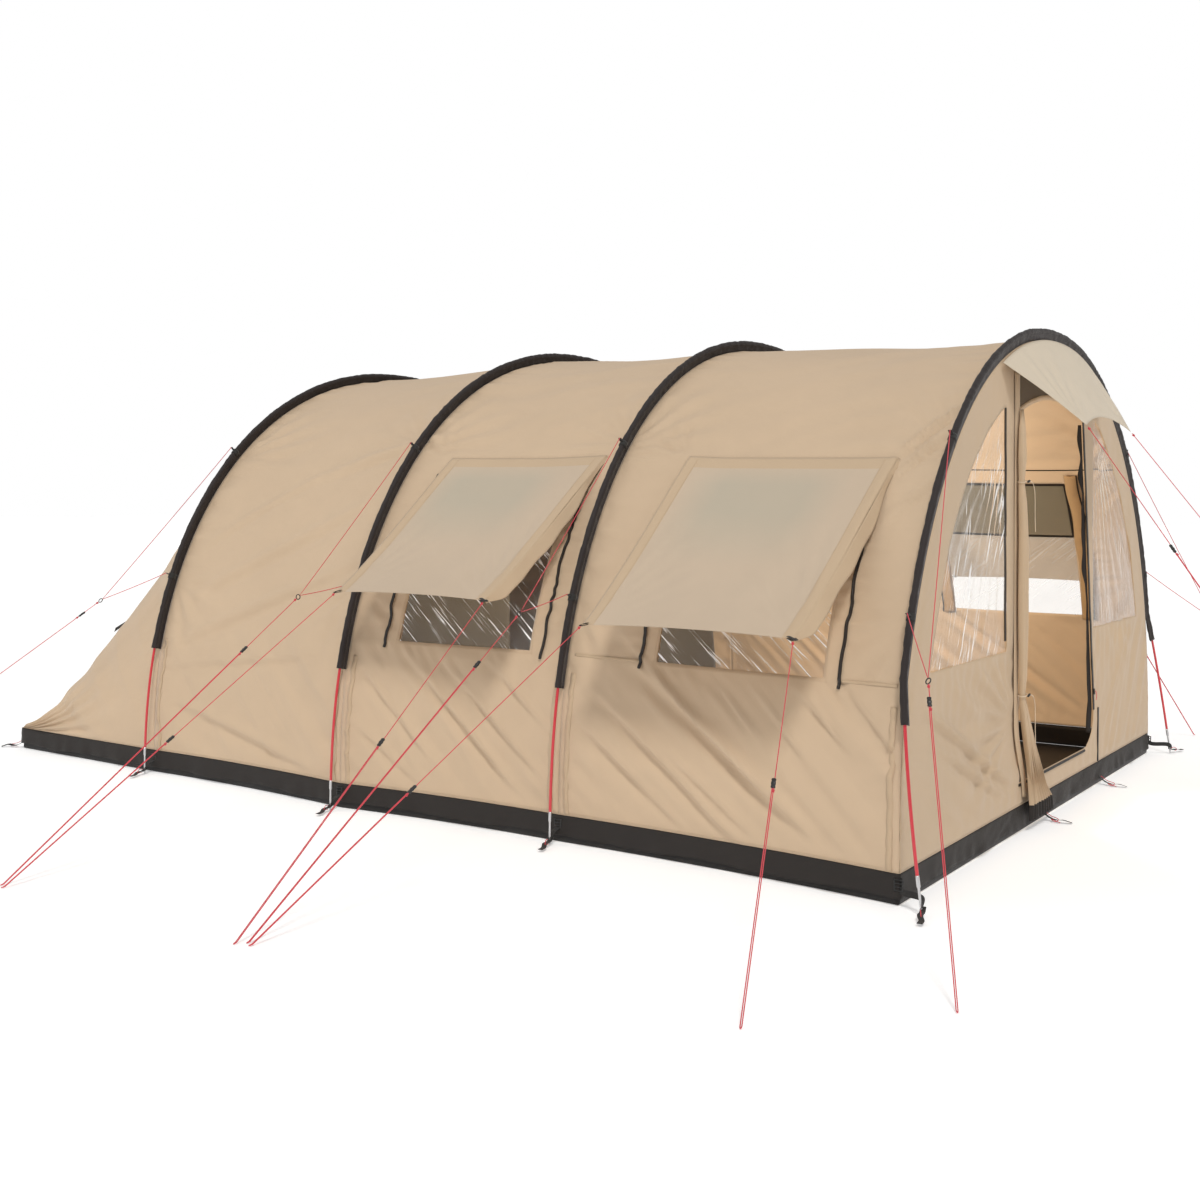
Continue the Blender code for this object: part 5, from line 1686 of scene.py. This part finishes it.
def band(name, outline, levels, ring_at, material):
    """A closed band of cloth round an outline; ring_at(z) gives its points at a level."""
    rows = []
    for z in levels:
        ring = ring_at(z)
        rows.append(np.vstack([ring, ring[:1]]))
    flat = np.stack(np.meshgrid(around_distance(outline), levels), axis=-1)
    piece = grid_sheet(name, np.array(rows), flat, MATERIALS[material], flip=True, thickness=None)
    return thicken(welded(piece), 0.0010)


def make_skirt():
    """The dark band below the fly, a little wavy, its lower edge kicked out."""
    outline = footprint(0.0)
    out_way = outward_of(outline)
    place = around_distance(outline)[:-1]
    ends = ramp(np.minimum(place, place[-1] - place), 0.0, 0.12)

    def ring_at(z):
        drop = (SKIRT_TOP - z) / (SKIRT_TOP - SKIRT_BOTTOM)
        wave = ends * (0.0055 * wander(place, 0.11, 151) + 0.0035 * wander(place, 0.043, 152))
        out = drop * (0.006 + wave) + ends * 0.0015 * wander(place + 3 * z, 0.06, 153) * ramp(drop, 0.0, 0.3)
        height = z + ends * drop * 0.006 * wander(place, 0.19, 154)
        return np.column_stack([outline + out_way * out[:, None], height])

    piece = band("skirt_band", outline, stops([SKIRT_BOTTOM, SKIRT_TOP], 0.009), ring_at, "skirt")
    settle(piece, ("fly_skirt",))


def welded(piece):
    """The piece with points that lie on each other merged into one."""
    work = bmesh.new()
    work.from_mesh(piece.data)
    bmesh.ops.remove_doubles(work, verts=work.verts, dist=0.0001)
    work.to_mesh(piece.data)
    work.free()
    return piece


def make_groundsheet():
    """The floor with its low rim turned up all round."""
    outline = footprint(0.006)
    place = around_distance(outline)[:-1]
    out_way = outward_of(outline)

    def ring_at(z):
        lean = 0.004 * wander(place + z, 0.13, 161) * ramp(z, 0.0, 0.03) - 0.004 * ramp(z, 0.0, 0.09)
        return np.column_stack([outline + out_way * lean[:, None], np.full(len(outline), z)])

    rim = band("groundsheet_rim", outline, stops([0.0025, 0.094], 0.012), ring_at, "tub")

    def place_floor(x, y):
        lift = 0.0025 + 0.0035 * np.abs(folds_along(x, y, 20, 0.9, 0.14, 1.0, 162))
        lift = lift + 0.002 * np.abs(folds_along(x, y, 100, 0.7, 0.10, 1.0, 163))
        edge = np.minimum(np.minimum(x - TAIL_X, HOOP_X[0] - x), 1.50 - np.abs(y))
        return np.stack([x, y, 0.0015 + (lift - 0.0015) * ramp(edge, 0.02, 0.12)], axis=1)

    floor = panel_sheet("groundsheet_floor", footprint(0.010, 20), [], place_floor, MATERIALS["tub"], 0.04,
                        thickness=0.0010)
    settle(rim, ("groundsheet",))
    settle(floor, ("groundsheet",))


# ================================================================ poles and sleeves
def hoop_line(hoop, angles, below=0.0):
    across, height = arch(HOOP_HALF[hoop] - below, HOOP_TOP[hoop] - below, angles)
    x = np.full_like(across, HOOP_X[hoop])
    if hoop == 0:
        x = x + FRONT_FEET_FORWARD * np.clip(1.0 - height / FORWARD_BEND_HEIGHT, 0.0, None)
    return np.stack([x, across, height], axis=1)


def hoop_sides(line):
    """At each point of a hoop: across its plane, and outwards in it."""
    tangents = np.gradient(line, axis=0)
    tangents /= np.linalg.norm(tangents, axis=1, keepdims=True)
    aside = np.tile((-1.0, 0.0, 0.0), (len(line), 1))
    aside = aside - tangents * (aside * tangents).sum(1)[:, None]
    aside /= np.linalg.norm(aside, axis=1, keepdims=True)
    return aside, np.cross(tangents, aside)


def even_angles(hoop, start, end, step):
    angles = np.linspace(start, end, 2000)
    line = hoop_line(hoop, angles)
    length = distances(line)
    return np.interp(np.linspace(0.0, length[-1], int(length[-1] / step) + 1), length, angles)


def make_poles():
    for hoop, name in enumerate(HOOPS):
        tip = float(angle_at_height(TIP_LENGTH, HOOP_TOP[hoop]))
        line = hoop_line(hoop, even_angles(hoop, tip, math.pi - tip, 0.020))
        rod = swept("pole_rod_" + name, line, lambda k: circle(POLE_RADIUS, 14), MATERIALS["pole"],
                    hoop_sides(line))
        settle(rod, ("pole_" + name,))
        parts = []
        for end in (0, 1):
            low = float(angle_at_height(0.002, HOOP_TOP[hoop]))
            high = float(angle_at_height(TIP_LENGTH + 0.030, HOOP_TOP[hoop]))
            angles = np.linspace(low, high, 24)
            if end:
                angles = math.pi - angles[::-1]
            line = hoop_line(hoop, angles)
            heights = line[:, 2].copy()

            def section(k, heights=heights):
                if heights[k] > TIP_LENGTH - 0.006:
                    return circle(POLE_RADIUS + 0.0007, 14)
                round_end = min(1.0, 0.55 + heights[k] / 0.012)
                return circle(0.0042 * round_end, 14)

            parts.append(swept(f"tip_{name}_{end}", line, section, MATERIALS["steel"], hoop_sides(line)))
        settle(joined("pole_tips_" + name, parts))


def sleeve_section(gather, fin_wave, ruffle):
    """The sleeve's section as (aside, out): round over the pole, narrowing to the seam below."""
    turns = np.linspace(-0.22 * math.pi, 1.22 * math.pi, 17)
    radius = SLEEVE_RADIUS + gather
    round_part = np.stack([radius * np.cos(turns) * 0.92, radius * np.sin(turns)], 1)
    left = [(-0.0052 + fin_wave, -0.018), (-0.0030 + fin_wave, -0.025), (-0.0018, -SLEEVE_FIN - 0.004)]
    right = [(0.0018, -SLEEVE_FIN - 0.004), (0.0030 + fin_wave, -0.025), (0.0052 + fin_wave, -0.018)]
    outline = np.vstack([round_part, left, right])
    outline[:17, 0] += ruffle * np.sin(turns * 3)
    return outline


def make_sleeves():
    for hoop, name in enumerate(HOOPS):
        start = float(angle_at_height(SLEEVE_END_HEIGHT, HOOP_TOP[hoop]))
        angles = even_angles(hoop, start, math.pi - start, 0.0075)
        line = hoop_line(hoop, angles)
        place = distances(line)
        gather = 0.0011 * wander(place, 0.017, 171 + hoop) + 0.0010 * wander(place, 0.043, 172 + hoop)
        fin_wave = 0.0020 * wander(place, 0.024, 173 + hoop)
        ruffle = 0.0009 * wander(place, 0.013, 174 + hoop)
        ends = np.minimum(place, place[-1] - place)
        gather = gather + 0.0012 * (1 - ramp(ends, 0.0, 0.03))
        piece = swept("sleeve_cloth_" + name, line,
                      lambda k: sleeve_section(gather[k], fin_wave[k], ruffle[k]),
                      MATERIALS["sleeve"], hoop_sides(line))
        lay_along(piece, place)
        settle(piece, ("sleeve_" + name,))
        make_sleeve_wraps(hoop, name)


def make_sleeve_wraps(hoop, name):
    """Webbing wrapped round the sleeve where the guy lines pull, with a small tail, on both sides."""
    parts = []
    for side in (-1, 1):
        for height in (UPPER_GUY_HEIGHT, LOWER_GUY_HEIGHT):
            middle = float(angle_at_height(height, HOOP_TOP[hoop]))
            spread = 0.013 / HOOP_TOP[hoop]
            angles = np.linspace(middle - spread, middle + spread, 5)
            if side > 0:
                angles = math.pi - angles
            line = hoop_line(hoop, angles)
            parts.append(swept(f"wrap_{name}_{side}_{height}", line,
                               lambda k: sleeve_section(0.0030, 0.0, 0.0) * 1.02, MATERIALS["webbing"],
                               hoop_sides(line)))
            tab = hoop_tab(hoop, height, side)
            root = line[2] + (tab - line[2]) * 0.5
            parts.append(ribbon(f"wrap_tab_{name}_{side}_{height}", [root, tab], 0.014, 0.0016))
    settle(joined("sleeve_wraps_" + name, parts))


# ================================================================ straps, loops and buckles at the ground
def make_ground_straps():
    """At each pole foot: a strap with its ladder buckle to the pole's tip, and a peg loop."""
    hem = girth_at(HEM_HEIGHT)
    for side_name, side in SIDES.items():
        for hoop, name in enumerate(HOOPS):
            foot = hoop_line(hoop, np.array([0.0015]))[0] * (1, -side, 1)
            wall = fly_base(np.array([HOOP_X[hoop]]), np.array([hem]))[0] * (1, -side, 1)
            anchor = np.array([wall[0], wall[1] * 0.992, 0.060])
            strap_parts = [
                ribbon(f"strap_{name}_{side_name}",
                       [anchor + (0, side * 0.006, 0.028), anchor + (0, side * 0.010, 0.0),
                       foot + (0.0, -side * 0.010, 0.034), foot + (0.0, side * 0.006, 0.018)], 0.020, 0.0015),
                ribbon(f"peg_loop_{name}_{side_name}", [foot + (0.0, -side * 0.012, 0.020),
                       foot + (0.008, side * 0.018, 0.010), foot + (0.012, side * 0.045, 0.010),
                       foot + (0.030, side * 0.078, 0.004), foot + (0.034, side * 0.104, 0.003)], 0.018,
                       0.0015),
            ]
            buckle = make_buckle(f"buckle_{name}_{side_name}", anchor + (0.0, side * 0.015, 0.006))
            settle(joined(f"ground_straps_{name}_{side_name}", strap_parts))
            settle(buckle)
            peg = [foot + (0.0, side * 0.012, 0.016), foot + (0.012, side * 0.040, 0.020),
                   foot + (0.020, side * 0.055, 0.008), foot + (0.016, side * 0.030, 0.006)]
            knot = swept(f"foot_cord_{name}_{side_name}", spline_points(peg, 0.004),
                         lambda k: circle(0.0015, 7),
                         MATERIALS["line"])
            settle(knot)


def make_buckle(name, centre):
    """A ladder buckle: a frame with three bars."""
    parts = []
    wide, tall = 0.014, 0.017
    for k, height in enumerate((-tall, -tall / 3, tall / 3, tall)):
        start, end = centre + (-wide, 0, height), centre + (wide, 0, height)
        parts.append(swept(f"{name}_bar_{k}", eased(start, end, 5), lambda j: circle(0.0021, 8, 0.8),
                           MATERIALS["plastic"]))
    for k, place in enumerate((-wide, wide)):
        start, end = centre + (place, 0, -tall - 0.002), centre + (place, 0, tall + 0.002)
        parts.append(swept(f"{name}_side_{k}", eased(start, end, 5), lambda j: circle(0.0023, 8, 0.8),
                           MATERIALS["plastic"]))
    return joined(name, parts)


def make_front_loops():
    """Peg loops along the front sill and at the tail's corners."""
    x = HOOP_X[0] + 0.006
    places = [("sill_left", x, -0.16, (1.0, 0.1)), ("sill_right", x, 0.66, (1.0, 0.15)),
              ("tail_near", TAIL_X - 0.004, -TAIL_HALF_WIDTH + 0.02, (-0.8, -0.6)),
              ("tail_far", TAIL_X - 0.004, TAIL_HALF_WIDTH - 0.02, (-0.8, 0.6)),
              ("tail_middle", TAIL_X - 0.004, 0.0, (-1.0, 0.0))]
    for name, place_x, place_y, way in places:
        root = np.array([place_x, place_y, 0.034])
        way = np.array([*way, 0.0]) / math.hypot(*way)
        aside = np.cross(way, (0.0, 0.0, 1.0))
        strap = ribbon("loop_strap_" + name, [root - way * 0.004 + (0, 0, 0.02), root + way * 0.006,
                       root + way * 0.030 + (0, 0, -0.020),
                                              root + way * 0.060 + aside * 0.010 + (0, 0, -0.026),
                       root + way * 0.085 + aside * 0.018 + (0, 0, -0.022),
                       root + way * 0.118 + aside * 0.008 + (0, 0, -0.031)], 0.019, 0.0015)
        settle(strap)
        route = [root + way * 0.010 + (0, 0, 0.004), root + way * 0.036 + aside * 0.006 + (0, 0, -0.012),
                 root + way * 0.070 + aside * 0.022 + (0, 0, -0.022),
                 root + way * 0.062 + aside * 0.034 + (0, 0, -0.028),
                 root + way * 0.040 + aside * 0.014 + (0, 0, -0.024),
                 root + way * 0.078 + aside * 0.030 + (0, 0, -0.031)]
        loop = swept("loop_cord_" + name, spline_points(route, 0.004), lambda k: circle(0.0014, 7),
                     MATERIALS["line"])
        settle(loop)


# ================================================================ stitches and zip teeth, by Geometry Nodes
def row_tree(name, long, wide, tall):
    """Small blocks set along a line: named sizes in, plain mesh with its material out."""
    tree = bpy.data.node_groups.new(name, "GeometryNodeTree")
    face = tree.interface
    face.new_socket("Line", in_out="INPUT", socket_type="NodeSocketGeometry")
    for label, value in (("Pitch", long * 1.5), ("Long", long), ("Wide", wide), ("Tall", tall)):
        socket = face.new_socket(label, in_out="INPUT", socket_type="NodeSocketFloat")
        socket.default_value = value
    face.new_socket("Material", in_out="INPUT", socket_type="NodeSocketMaterial")
    face.new_socket("Mesh", in_out="OUTPUT", socket_type="NodeSocketGeometry")
    nodes, wires = tree.nodes, tree.links
    given, shown = nodes.new("NodeGroupInput"), nodes.new("NodeGroupOutput")
    to_curve = nodes.new("GeometryNodeMeshToCurve")
    spaced = nodes.new("GeometryNodeResampleCurve")
    spaced.mode = "LENGTH"
    tangent = nodes.new("GeometryNodeInputTangent")
    align = nodes.new("FunctionNodeAlignEulerToVector")
    align.axis = "X"
    size = nodes.new("ShaderNodeCombineXYZ")
    block = nodes.new("GeometryNodeMeshCube")
    place = nodes.new("GeometryNodeInstanceOnPoints")
    real = nodes.new("GeometryNodeRealizeInstances")
    paint = nodes.new("GeometryNodeSetMaterial")
    wires.new(given.outputs["Line"], to_curve.inputs[0])
    wires.new(to_curve.outputs[0], spaced.inputs["Curve"])
    wires.new(given.outputs["Pitch"], spaced.inputs["Length"])
    wires.new(tangent.outputs[0], align.inputs["Vector"])
    for k, label in enumerate(("Long", "Wide", "Tall")):
        wires.new(given.outputs[label], size.inputs[k])
    wires.new(size.outputs[0], block.inputs["Size"])
    wires.new(spaced.outputs[0], place.inputs["Points"])
    wires.new(block.outputs["Mesh"], place.inputs["Instance"])
    wires.new(align.outputs[0], place.inputs["Rotation"])
    wires.new(place.outputs[0], real.inputs[0])
    wires.new(real.outputs[0], paint.inputs["Geometry"])
    wires.new(given.outputs["Material"], paint.inputs["Material"])
    wires.new(paint.outputs[0], shown.inputs[0])
    return tree


def block_row(name, lines, pitch, long, wide, tall, material):
    """Blocks along several lines of points, as one plain mesh."""
    points, edges = [], []
    for line in lines:
        start = len(points)
        points += [tuple(p) for p in line]
        edges += [(start + k, start + k + 1) for k in range(len(line) - 1)]
    mesh = bpy.data.meshes.new(name + "_line")
    mesh.from_pydata(points, edges, [])
    guide = link(bpy.data.objects.new(name + "_line", mesh))
    modifier = guide.modifiers.new("row", "NODES")
    modifier.node_group = row_tree(name + "_row", long, wide, tall)
    values = {"Pitch": pitch, "Long": long, "Wide": wide, "Tall": tall, "Material": MATERIALS[material]}
    for item in modifier.node_group.interface.items_tree:
        if item.in_out == "INPUT" and item.name in values:
            modifier[item.identifier] = values[item.name]
    graph = bpy.context.evaluated_depsgraph_get()
    made = bpy.data.meshes.new_from_object(guide.evaluated_get(graph))
    bpy.data.objects.remove(guide)
    return link(bpy.data.objects.new(name, made))


def wall_run(x, height, side, raised, count=60):
    """A line on the folded wall from the first to the last (x, height)."""
    share = np.linspace(0.0, 1.0, count)
    knots_at = np.linspace(0.0, 1.0, len(x))
    xs, zs = np.interp(share, knots_at, x), np.interp(share, knots_at, height)
    return fly_surface(xs, wall_girth(zs, side), raised)


def make_wall_zips():
    """A zip up each side of each side window, wavy with the cloth's gathers: its tape and its teeth."""
    for side_name, side in SIDES.items():
        tapes, lines = [], []
        for name, edges in WINDOW_EDGES.items():
            for k, (edge, offset) in enumerate(((edges[0], -ZIP_FROM_WINDOW), (edges[1], ZIP_FROM_WINDOW))):
                x = behind_front(edge + offset)
                heights = np.linspace(WINDOW_SILL - 0.03, WINDOW_TOP, 90)
                wave = 0.007 * wander(heights, 0.085, 181 + k) * ramp(WINDOW_TOP - heights, 0.0, 0.2)
                girth = wall_girth(heights, side)
                line = fly_surface(x + wave, girth, 0.0065)
                lines.append(line)
                tapes.append(zip_tape(f"tape_{name}_{side_name}_{k}", line,
                                      normals_of(fly_base, x + wave, girth)))
        tape = joined("window_zip_tapes_" + side_name, tapes)
        settle(tape)
        teeth = block_row("window_zip_teeth_" + side_name, lines, 0.0042, 0.0022, 0.0046, 0.0058, "zip")
        settle(teeth)


def zip_tape(name, line, normals, width=0.011, thickness=0.0040):
    outline = flat_section(width, thickness)
    return swept(name, line, lambda k: outline, MATERIALS["zip"], facing_sides(line, normals), smooth=False)


def door_edge(height):
    """Across place of the door's far edge at a height."""
    share = (height - DOOR_SILL) / (DOOR_HEAD - DOOR_SILL)
    return DOOR_RIGHT_LOW + share * (DOOR_RIGHT_HIGH - DOOR_RIGHT_LOW)


def make_door_zip():
    """The door's zip along its far edge and sill, the dark flap behind it, and the pale strip."""
    heights = np.linspace(DOOR_SILL + DOOR_CORNER, DOOR_HEAD, 110)
    edge = door_edge(heights) + 0.010
    wave = 0.004 * wander(heights, 0.10, 191)
    rail = np.stack([np.full_like(heights, HOOP_X[0] + 0.004), edge + wave, heights], 1)
    turns = np.linspace(0.0, 1.0, 40)
    sill_y = DOOR_RIGHT_LOW - DOOR_CORNER - (DOOR_RIGHT_LOW - DOOR_CORNER - DOOR_LEFT) * turns
    sill = np.stack([np.full_like(sill_y, HOOP_X[0] + 0.004), sill_y,
                     np.full_like(sill_y, DOOR_SILL - 0.009)], 1)
    out = np.tile((1.0, 0.0, 0.0), (len(rail), 1))
    tapes = [zip_tape("door_tape", rail, out, 0.016),
             zip_tape("sill_tape", sill, np.tile((1.0, 0.0, 0.0), (40, 1)), 0.010)]
    low = np.linspace(0.105, DOOR_SILL + DOOR_CORNER, 30)
    second = np.stack([np.full_like(low, HOOP_X[0] + 0.004), 0.655 + 0.02 * (low - 0.1), low], 1)
    tapes.append(zip_tape("second_tape", second, np.tile((1.0, 0.0, 0.0), (30, 1)), 0.012))
    tall = np.linspace(0.74, 1.60, 90)
    pane_edge = -PANE_INNER - 0.010 + 0.005 * wander(tall, 0.07, 196)
    third = np.stack([np.full_like(tall, HOOP_X[0] + 0.002), pane_edge, tall], 1)
    tapes.append(zip_tape("pane_edge_tape", third, np.tile((1.0, 0.0, 0.0), (90, 1)), 0.014))
    settle(joined("door_zip_tapes", tapes))
    settle(block_row("door_zip_teeth", [rail, sill, second], 0.0048, 0.0026, 0.0055, 0.0036, "zip"))

    across = np.linspace(0.0, 1.0, 6)
    tall = np.linspace(0.24, DOOR_HEAD - 0.01, 120)
    z, w = np.meshgrid(tall, across, indexing="ij")
    ruffle = 0.016 * wander(tall, 0.105, 192)[:, None] * w
    foot = 0.02 * (z < 0.34) * (0.34 - z) / 0.1
    y = door_edge(np.maximum(z, DOOR_SILL + DOOR_CORNER)) + 0.006 - w * (0.014 + 0.5 * ruffle) - foot
    x = HOOP_X[0] - 0.004 - w * 0.011 + 0.010 * w * wander(z, 0.08, 193)
    points = np.stack([x, y, z], -1)
    flap = grid_sheet("door_zip_flap", points, np.stack([w * 0.05, z], -1), MATERIALS["skirt"])
    settle(flap)
    length = float(tall[-1] - tall[0])
    sheet_area(points) / length

    tall = np.linspace(DOOR_SILL - 0.06, 1.74, 140)
    z, w = np.meshgrid(tall, np.linspace(0.0, 1.0, 7), indexing="ij")
    y = -0.500 + w * 0.052 + 0.004 * wander(z, 0.3, 194) + 0.10 * ramp(0.42 - z, 0.0, 0.30)
    x = HOOP_X[0] + 0.007 + 0.007 * np.sin(math.pi * w) + 0.003 * wander(z + w, 0.25, 195) * w
    strip = grid_sheet("door_storm_strip", np.stack([x, y, z], -1), np.stack([w * 0.05, z], -1),
                       MATERIALS["sand_pale"])
    settle(strip)

    make_slider()


def make_slider():
    """The door's slider with its pull, on the far edge."""
    low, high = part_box("door_zip_slider")
    centre = np.array((low + high) / 2)
    top = np.array([0.0, DOOR_RIGHT_HIGH - DOOR_RIGHT_LOW, DOOR_HEAD - DOOR_SILL])
    top /= np.linalg.norm(top)
    side = np.array([0.0, -top[2], top[1]])
    stations = np.linspace(-1.0, 1.0, 13)
    points = centre + stations[:, None] * top * 0.0125

    def section(k):
        wide = 0.0058 * (0.72 + 0.28 * math.cos(stations[k] * 1.4))
        turns = np.arange(12) * 2 * math.pi / 12
        return np.stack([wide * np.cos(turns),
                         0.0036 * np.sign(np.sin(turns)) * np.abs(np.sin(turns)) ** 0.5], 1)

    tiled = (np.tile(side, (13, 1)), np.tile((1.0, 0.0, 0.0), (13, 1)))
    body = swept("slider_body", points, section, MATERIALS["zip_metal"], tiled)
    hang = centre + (0.0052, 0.0, 0.004)
    pull = ribbon("slider_pull", [hang, hang + (0.004, 0.001, -0.012), hang + (0.003, 0.002, -0.040)],
                  0.0055, 0.0016,
                  "line", (1.0, 0.0, 0.0))
    settle(joined("door_zip_slider_body", [body, pull]), ("door_zip_slider",), "door_zip_slider")


def make_stitches():
    """Rows of stitches along the sewn edges of walls, windows and awnings."""
    lines = []
    for side in SIDES.values():
        for name, edges in WINDOW_EDGES.items():
            front, rear = behind_front(edges[0] - 0.012), behind_front(edges[1] + 0.012)
            for height in (WINDOW_SILL - 0.012, WINDOW_TOP + 0.012):
                lines.append(wall_run((front, rear), (height, height), side, 0.0006))
            for x in (front, rear):
                lines.append(wall_run((x, x), (WINDOW_SILL - 0.012, WINDOW_TOP + 0.012), side, 0.0006))
            edge = AWNING_HEM * 0.97 / (AWNING_HINGE[name][1] - AWNING_HINGE[name][0])
            for across in (edge, 1 - edge):
                line = awning_base(name, side, np.full(50, across), np.linspace(0.02, 0.98, 50))
                lines.append(line + (0, 0, 0.0034))
        for number in range(3):
            front, rear = HOOP_X[number] - 0.02, HOOP_X[number + 1] + 0.02
            lines.append(wall_run((front, rear), (HEM_HEIGHT + 0.012,) * 2, side, 0.0008, 120))
    piece = block_row("seam_stitches", lines, 0.0075, 0.0046, 0.0010, 0.0008, "thread")
    settle(piece)


def make_wall_seams():
    """Flat-felled seams: low strips of doubled cloth along the walls."""
    parts = []
    for side in SIDES.values():
        runs = [((HOOP_X[0] - 0.03, behind_front(0.235)), WINDOW_SILL - 0.004),
                ((behind_front(1.02), HOOP_X[1] + 0.03), WINDOW_SILL - 0.004)]
        for xs, height in runs:
            line = wall_run(xs, (height, height), side, 0.0012, 60)
            girth = wall_girth(height, side)
            normals = normals_of(fly_base, np.linspace(xs[0], xs[1], 60), np.full(60, girth))
            parts.append(seam_strip(f"seam_{side}_{xs[0]:.2f}", line, normals, 0.012))
        for hoop in range(4):
            for step in (-0.035, 0.035):
                x = HOOP_X[hoop] + step
                if x > HOOP_X[0] or x < HOOP_X[3]:
                    continue
                heights = np.linspace(HEM_HEIGHT + 0.004, 0.62, 70)
                girth = wall_girth(heights, side)
                line = fly_surface(np.full(70, x), girth, 0.0012)
                parts.append(seam_strip(f"foot_seam_{side}_{hoop}_{step}", line,
                                        normals_of(fly_base, np.full(70, x), girth), 0.022))
    settle(joined("wall_seam_strips", parts))


def seam_strip(name, line, normals, width):
    half = width / 2
    outline = [(-half, -0.0006), (half, -0.0006), (half * 0.96, 0.0007), (-half * 0.96, 0.0007)]
    strip = swept(name, line, lambda k: outline, MATERIALS["sand_pale"], facing_sides(line, normals))
    lay_along(strip, np.arange(len(line)) * 0.012)
    return strip


def make_window_strips():
    """Inside the windows: the dark binding round each opening and the side strip of its blind."""
    for side_name, side in SIDES.items():
        parts = []
        for name, edges in WINDOW_EDGES.items():
            front, rear = behind_front(edges[0]), behind_front(edges[1])
            for xs, zs in (((front, rear), (WINDOW_RAIL, WINDOW_RAIL)),
                           ((front, rear), (WINDOW_TOP, WINDOW_TOP)),
                           ((front, front), (WINDOW_RAIL, WINDOW_TOP)),
                           ((rear, rear), (WINDOW_RAIL, WINDOW_TOP))):
                share = np.linspace(0.0, 1.0, 40)
                x = xs[0] + (xs[1] - xs[0]) * share
                girth = wall_girth(zs[0] + (zs[1] - zs[0]) * share, side)
                normals = normals_of(fly_base, x, girth)
                line = fly_surface(x, girth, -0.0080)
                parts.append(zip_tape(f"binding_{name}_{side}_{xs[0]:.2f}_{zs[0]:.2f}_{zs[1]:.2f}", line,
                                      normals, 0.010))
        settle(joined("window_bindings_" + side_name, parts))
        make_blind_strips(side_name, side)


def make_blind_strips(side_name, side):
    """Inside, the gathered strip of the rolled blind beside each window, and the wall's top seam."""
    edgings = []
    for name, edges in WINDOW_EDGES.items():
        for k, (edge, away) in enumerate(((edges[0], -1), (edges[1], 1))):
            heights = stops([WINDOW_SILL - 0.02, WINDOW_TOP + 0.05], CELL)
            z, w = np.meshgrid(heights, np.linspace(0.0, 1.0, 9), indexing="ij")
            x = behind_front(edge + away * (0.006 + 0.060 * w + 0.006 * wander(z, 0.12, 240 + k)))
            girth = wall_girth(z, side)
            normals = normals_of(fly_base, x, girth)
            bulge = 0.012 + 0.009 * np.sin(math.pi * w) + 0.003 * w * wander(z, 0.06, 243)
            points = fly_surface(x, girth, -bulge)
            flat = np.stack([w * 0.07, z], -1)
            # The blind strip takes the darker copy of the sand cloth, a painted shade for the inside.
            strip = grid_sheet(f"blind_{name}_{k}_{side_name}", points, flat, MATERIALS["sand_painted_shade"])
            settle(strip)
            length = float(heights[-1] - heights[0])
            sheet_area(points) / length
            edge_line = points[:, -1] - normals[:, -1] * 0.004
            edgings.append(zip_tape(f"blind_edge_{name}_{k}_{side}", edge_line, normals[:, -1], 0.006))
    along = np.linspace(HOOP_X[0] - 0.04, HOOP_X[2] + 0.04, 160)
    along = along[np.min([np.abs(along - hoop) for hoop in HOOP_X], axis=0) > 0.03]
    girth = wall_girth(np.full_like(along, AWNING_HINGE_HEIGHT), side)
    normals = normals_of(fly_base, along, girth)
    seam = fly_surface(along, girth, -0.004)
    edgings.append(zip_tape(f"inner_seam_{side}", seam, normals, 0.005, 0.0020))
    settle(joined("blind_edgings_" + side_name, edgings))


# ================================================================ the whole
def main():
    make_camera()
    make_hoop_guys()
    make_awning_lines()
    make_visor_lines()
    make_floor()
    make_light()
    make_poles()
    make_sleeves()
    make_fly()
    make_tail()
    make_vent_hood()
    make_awnings()
    make_visor()
    make_front_wall()
    make_cabin_wall()
    make_rolled_door()
    make_skirt()
    make_groundsheet()
    make_ground_straps()
    make_front_loops()
    make_wall_zips()
    make_door_zip()
    make_wall_seams()
    make_window_strips()
    make_stitches()
    bpy.context.scene.view_settings.view_transform = "Standard"


main()
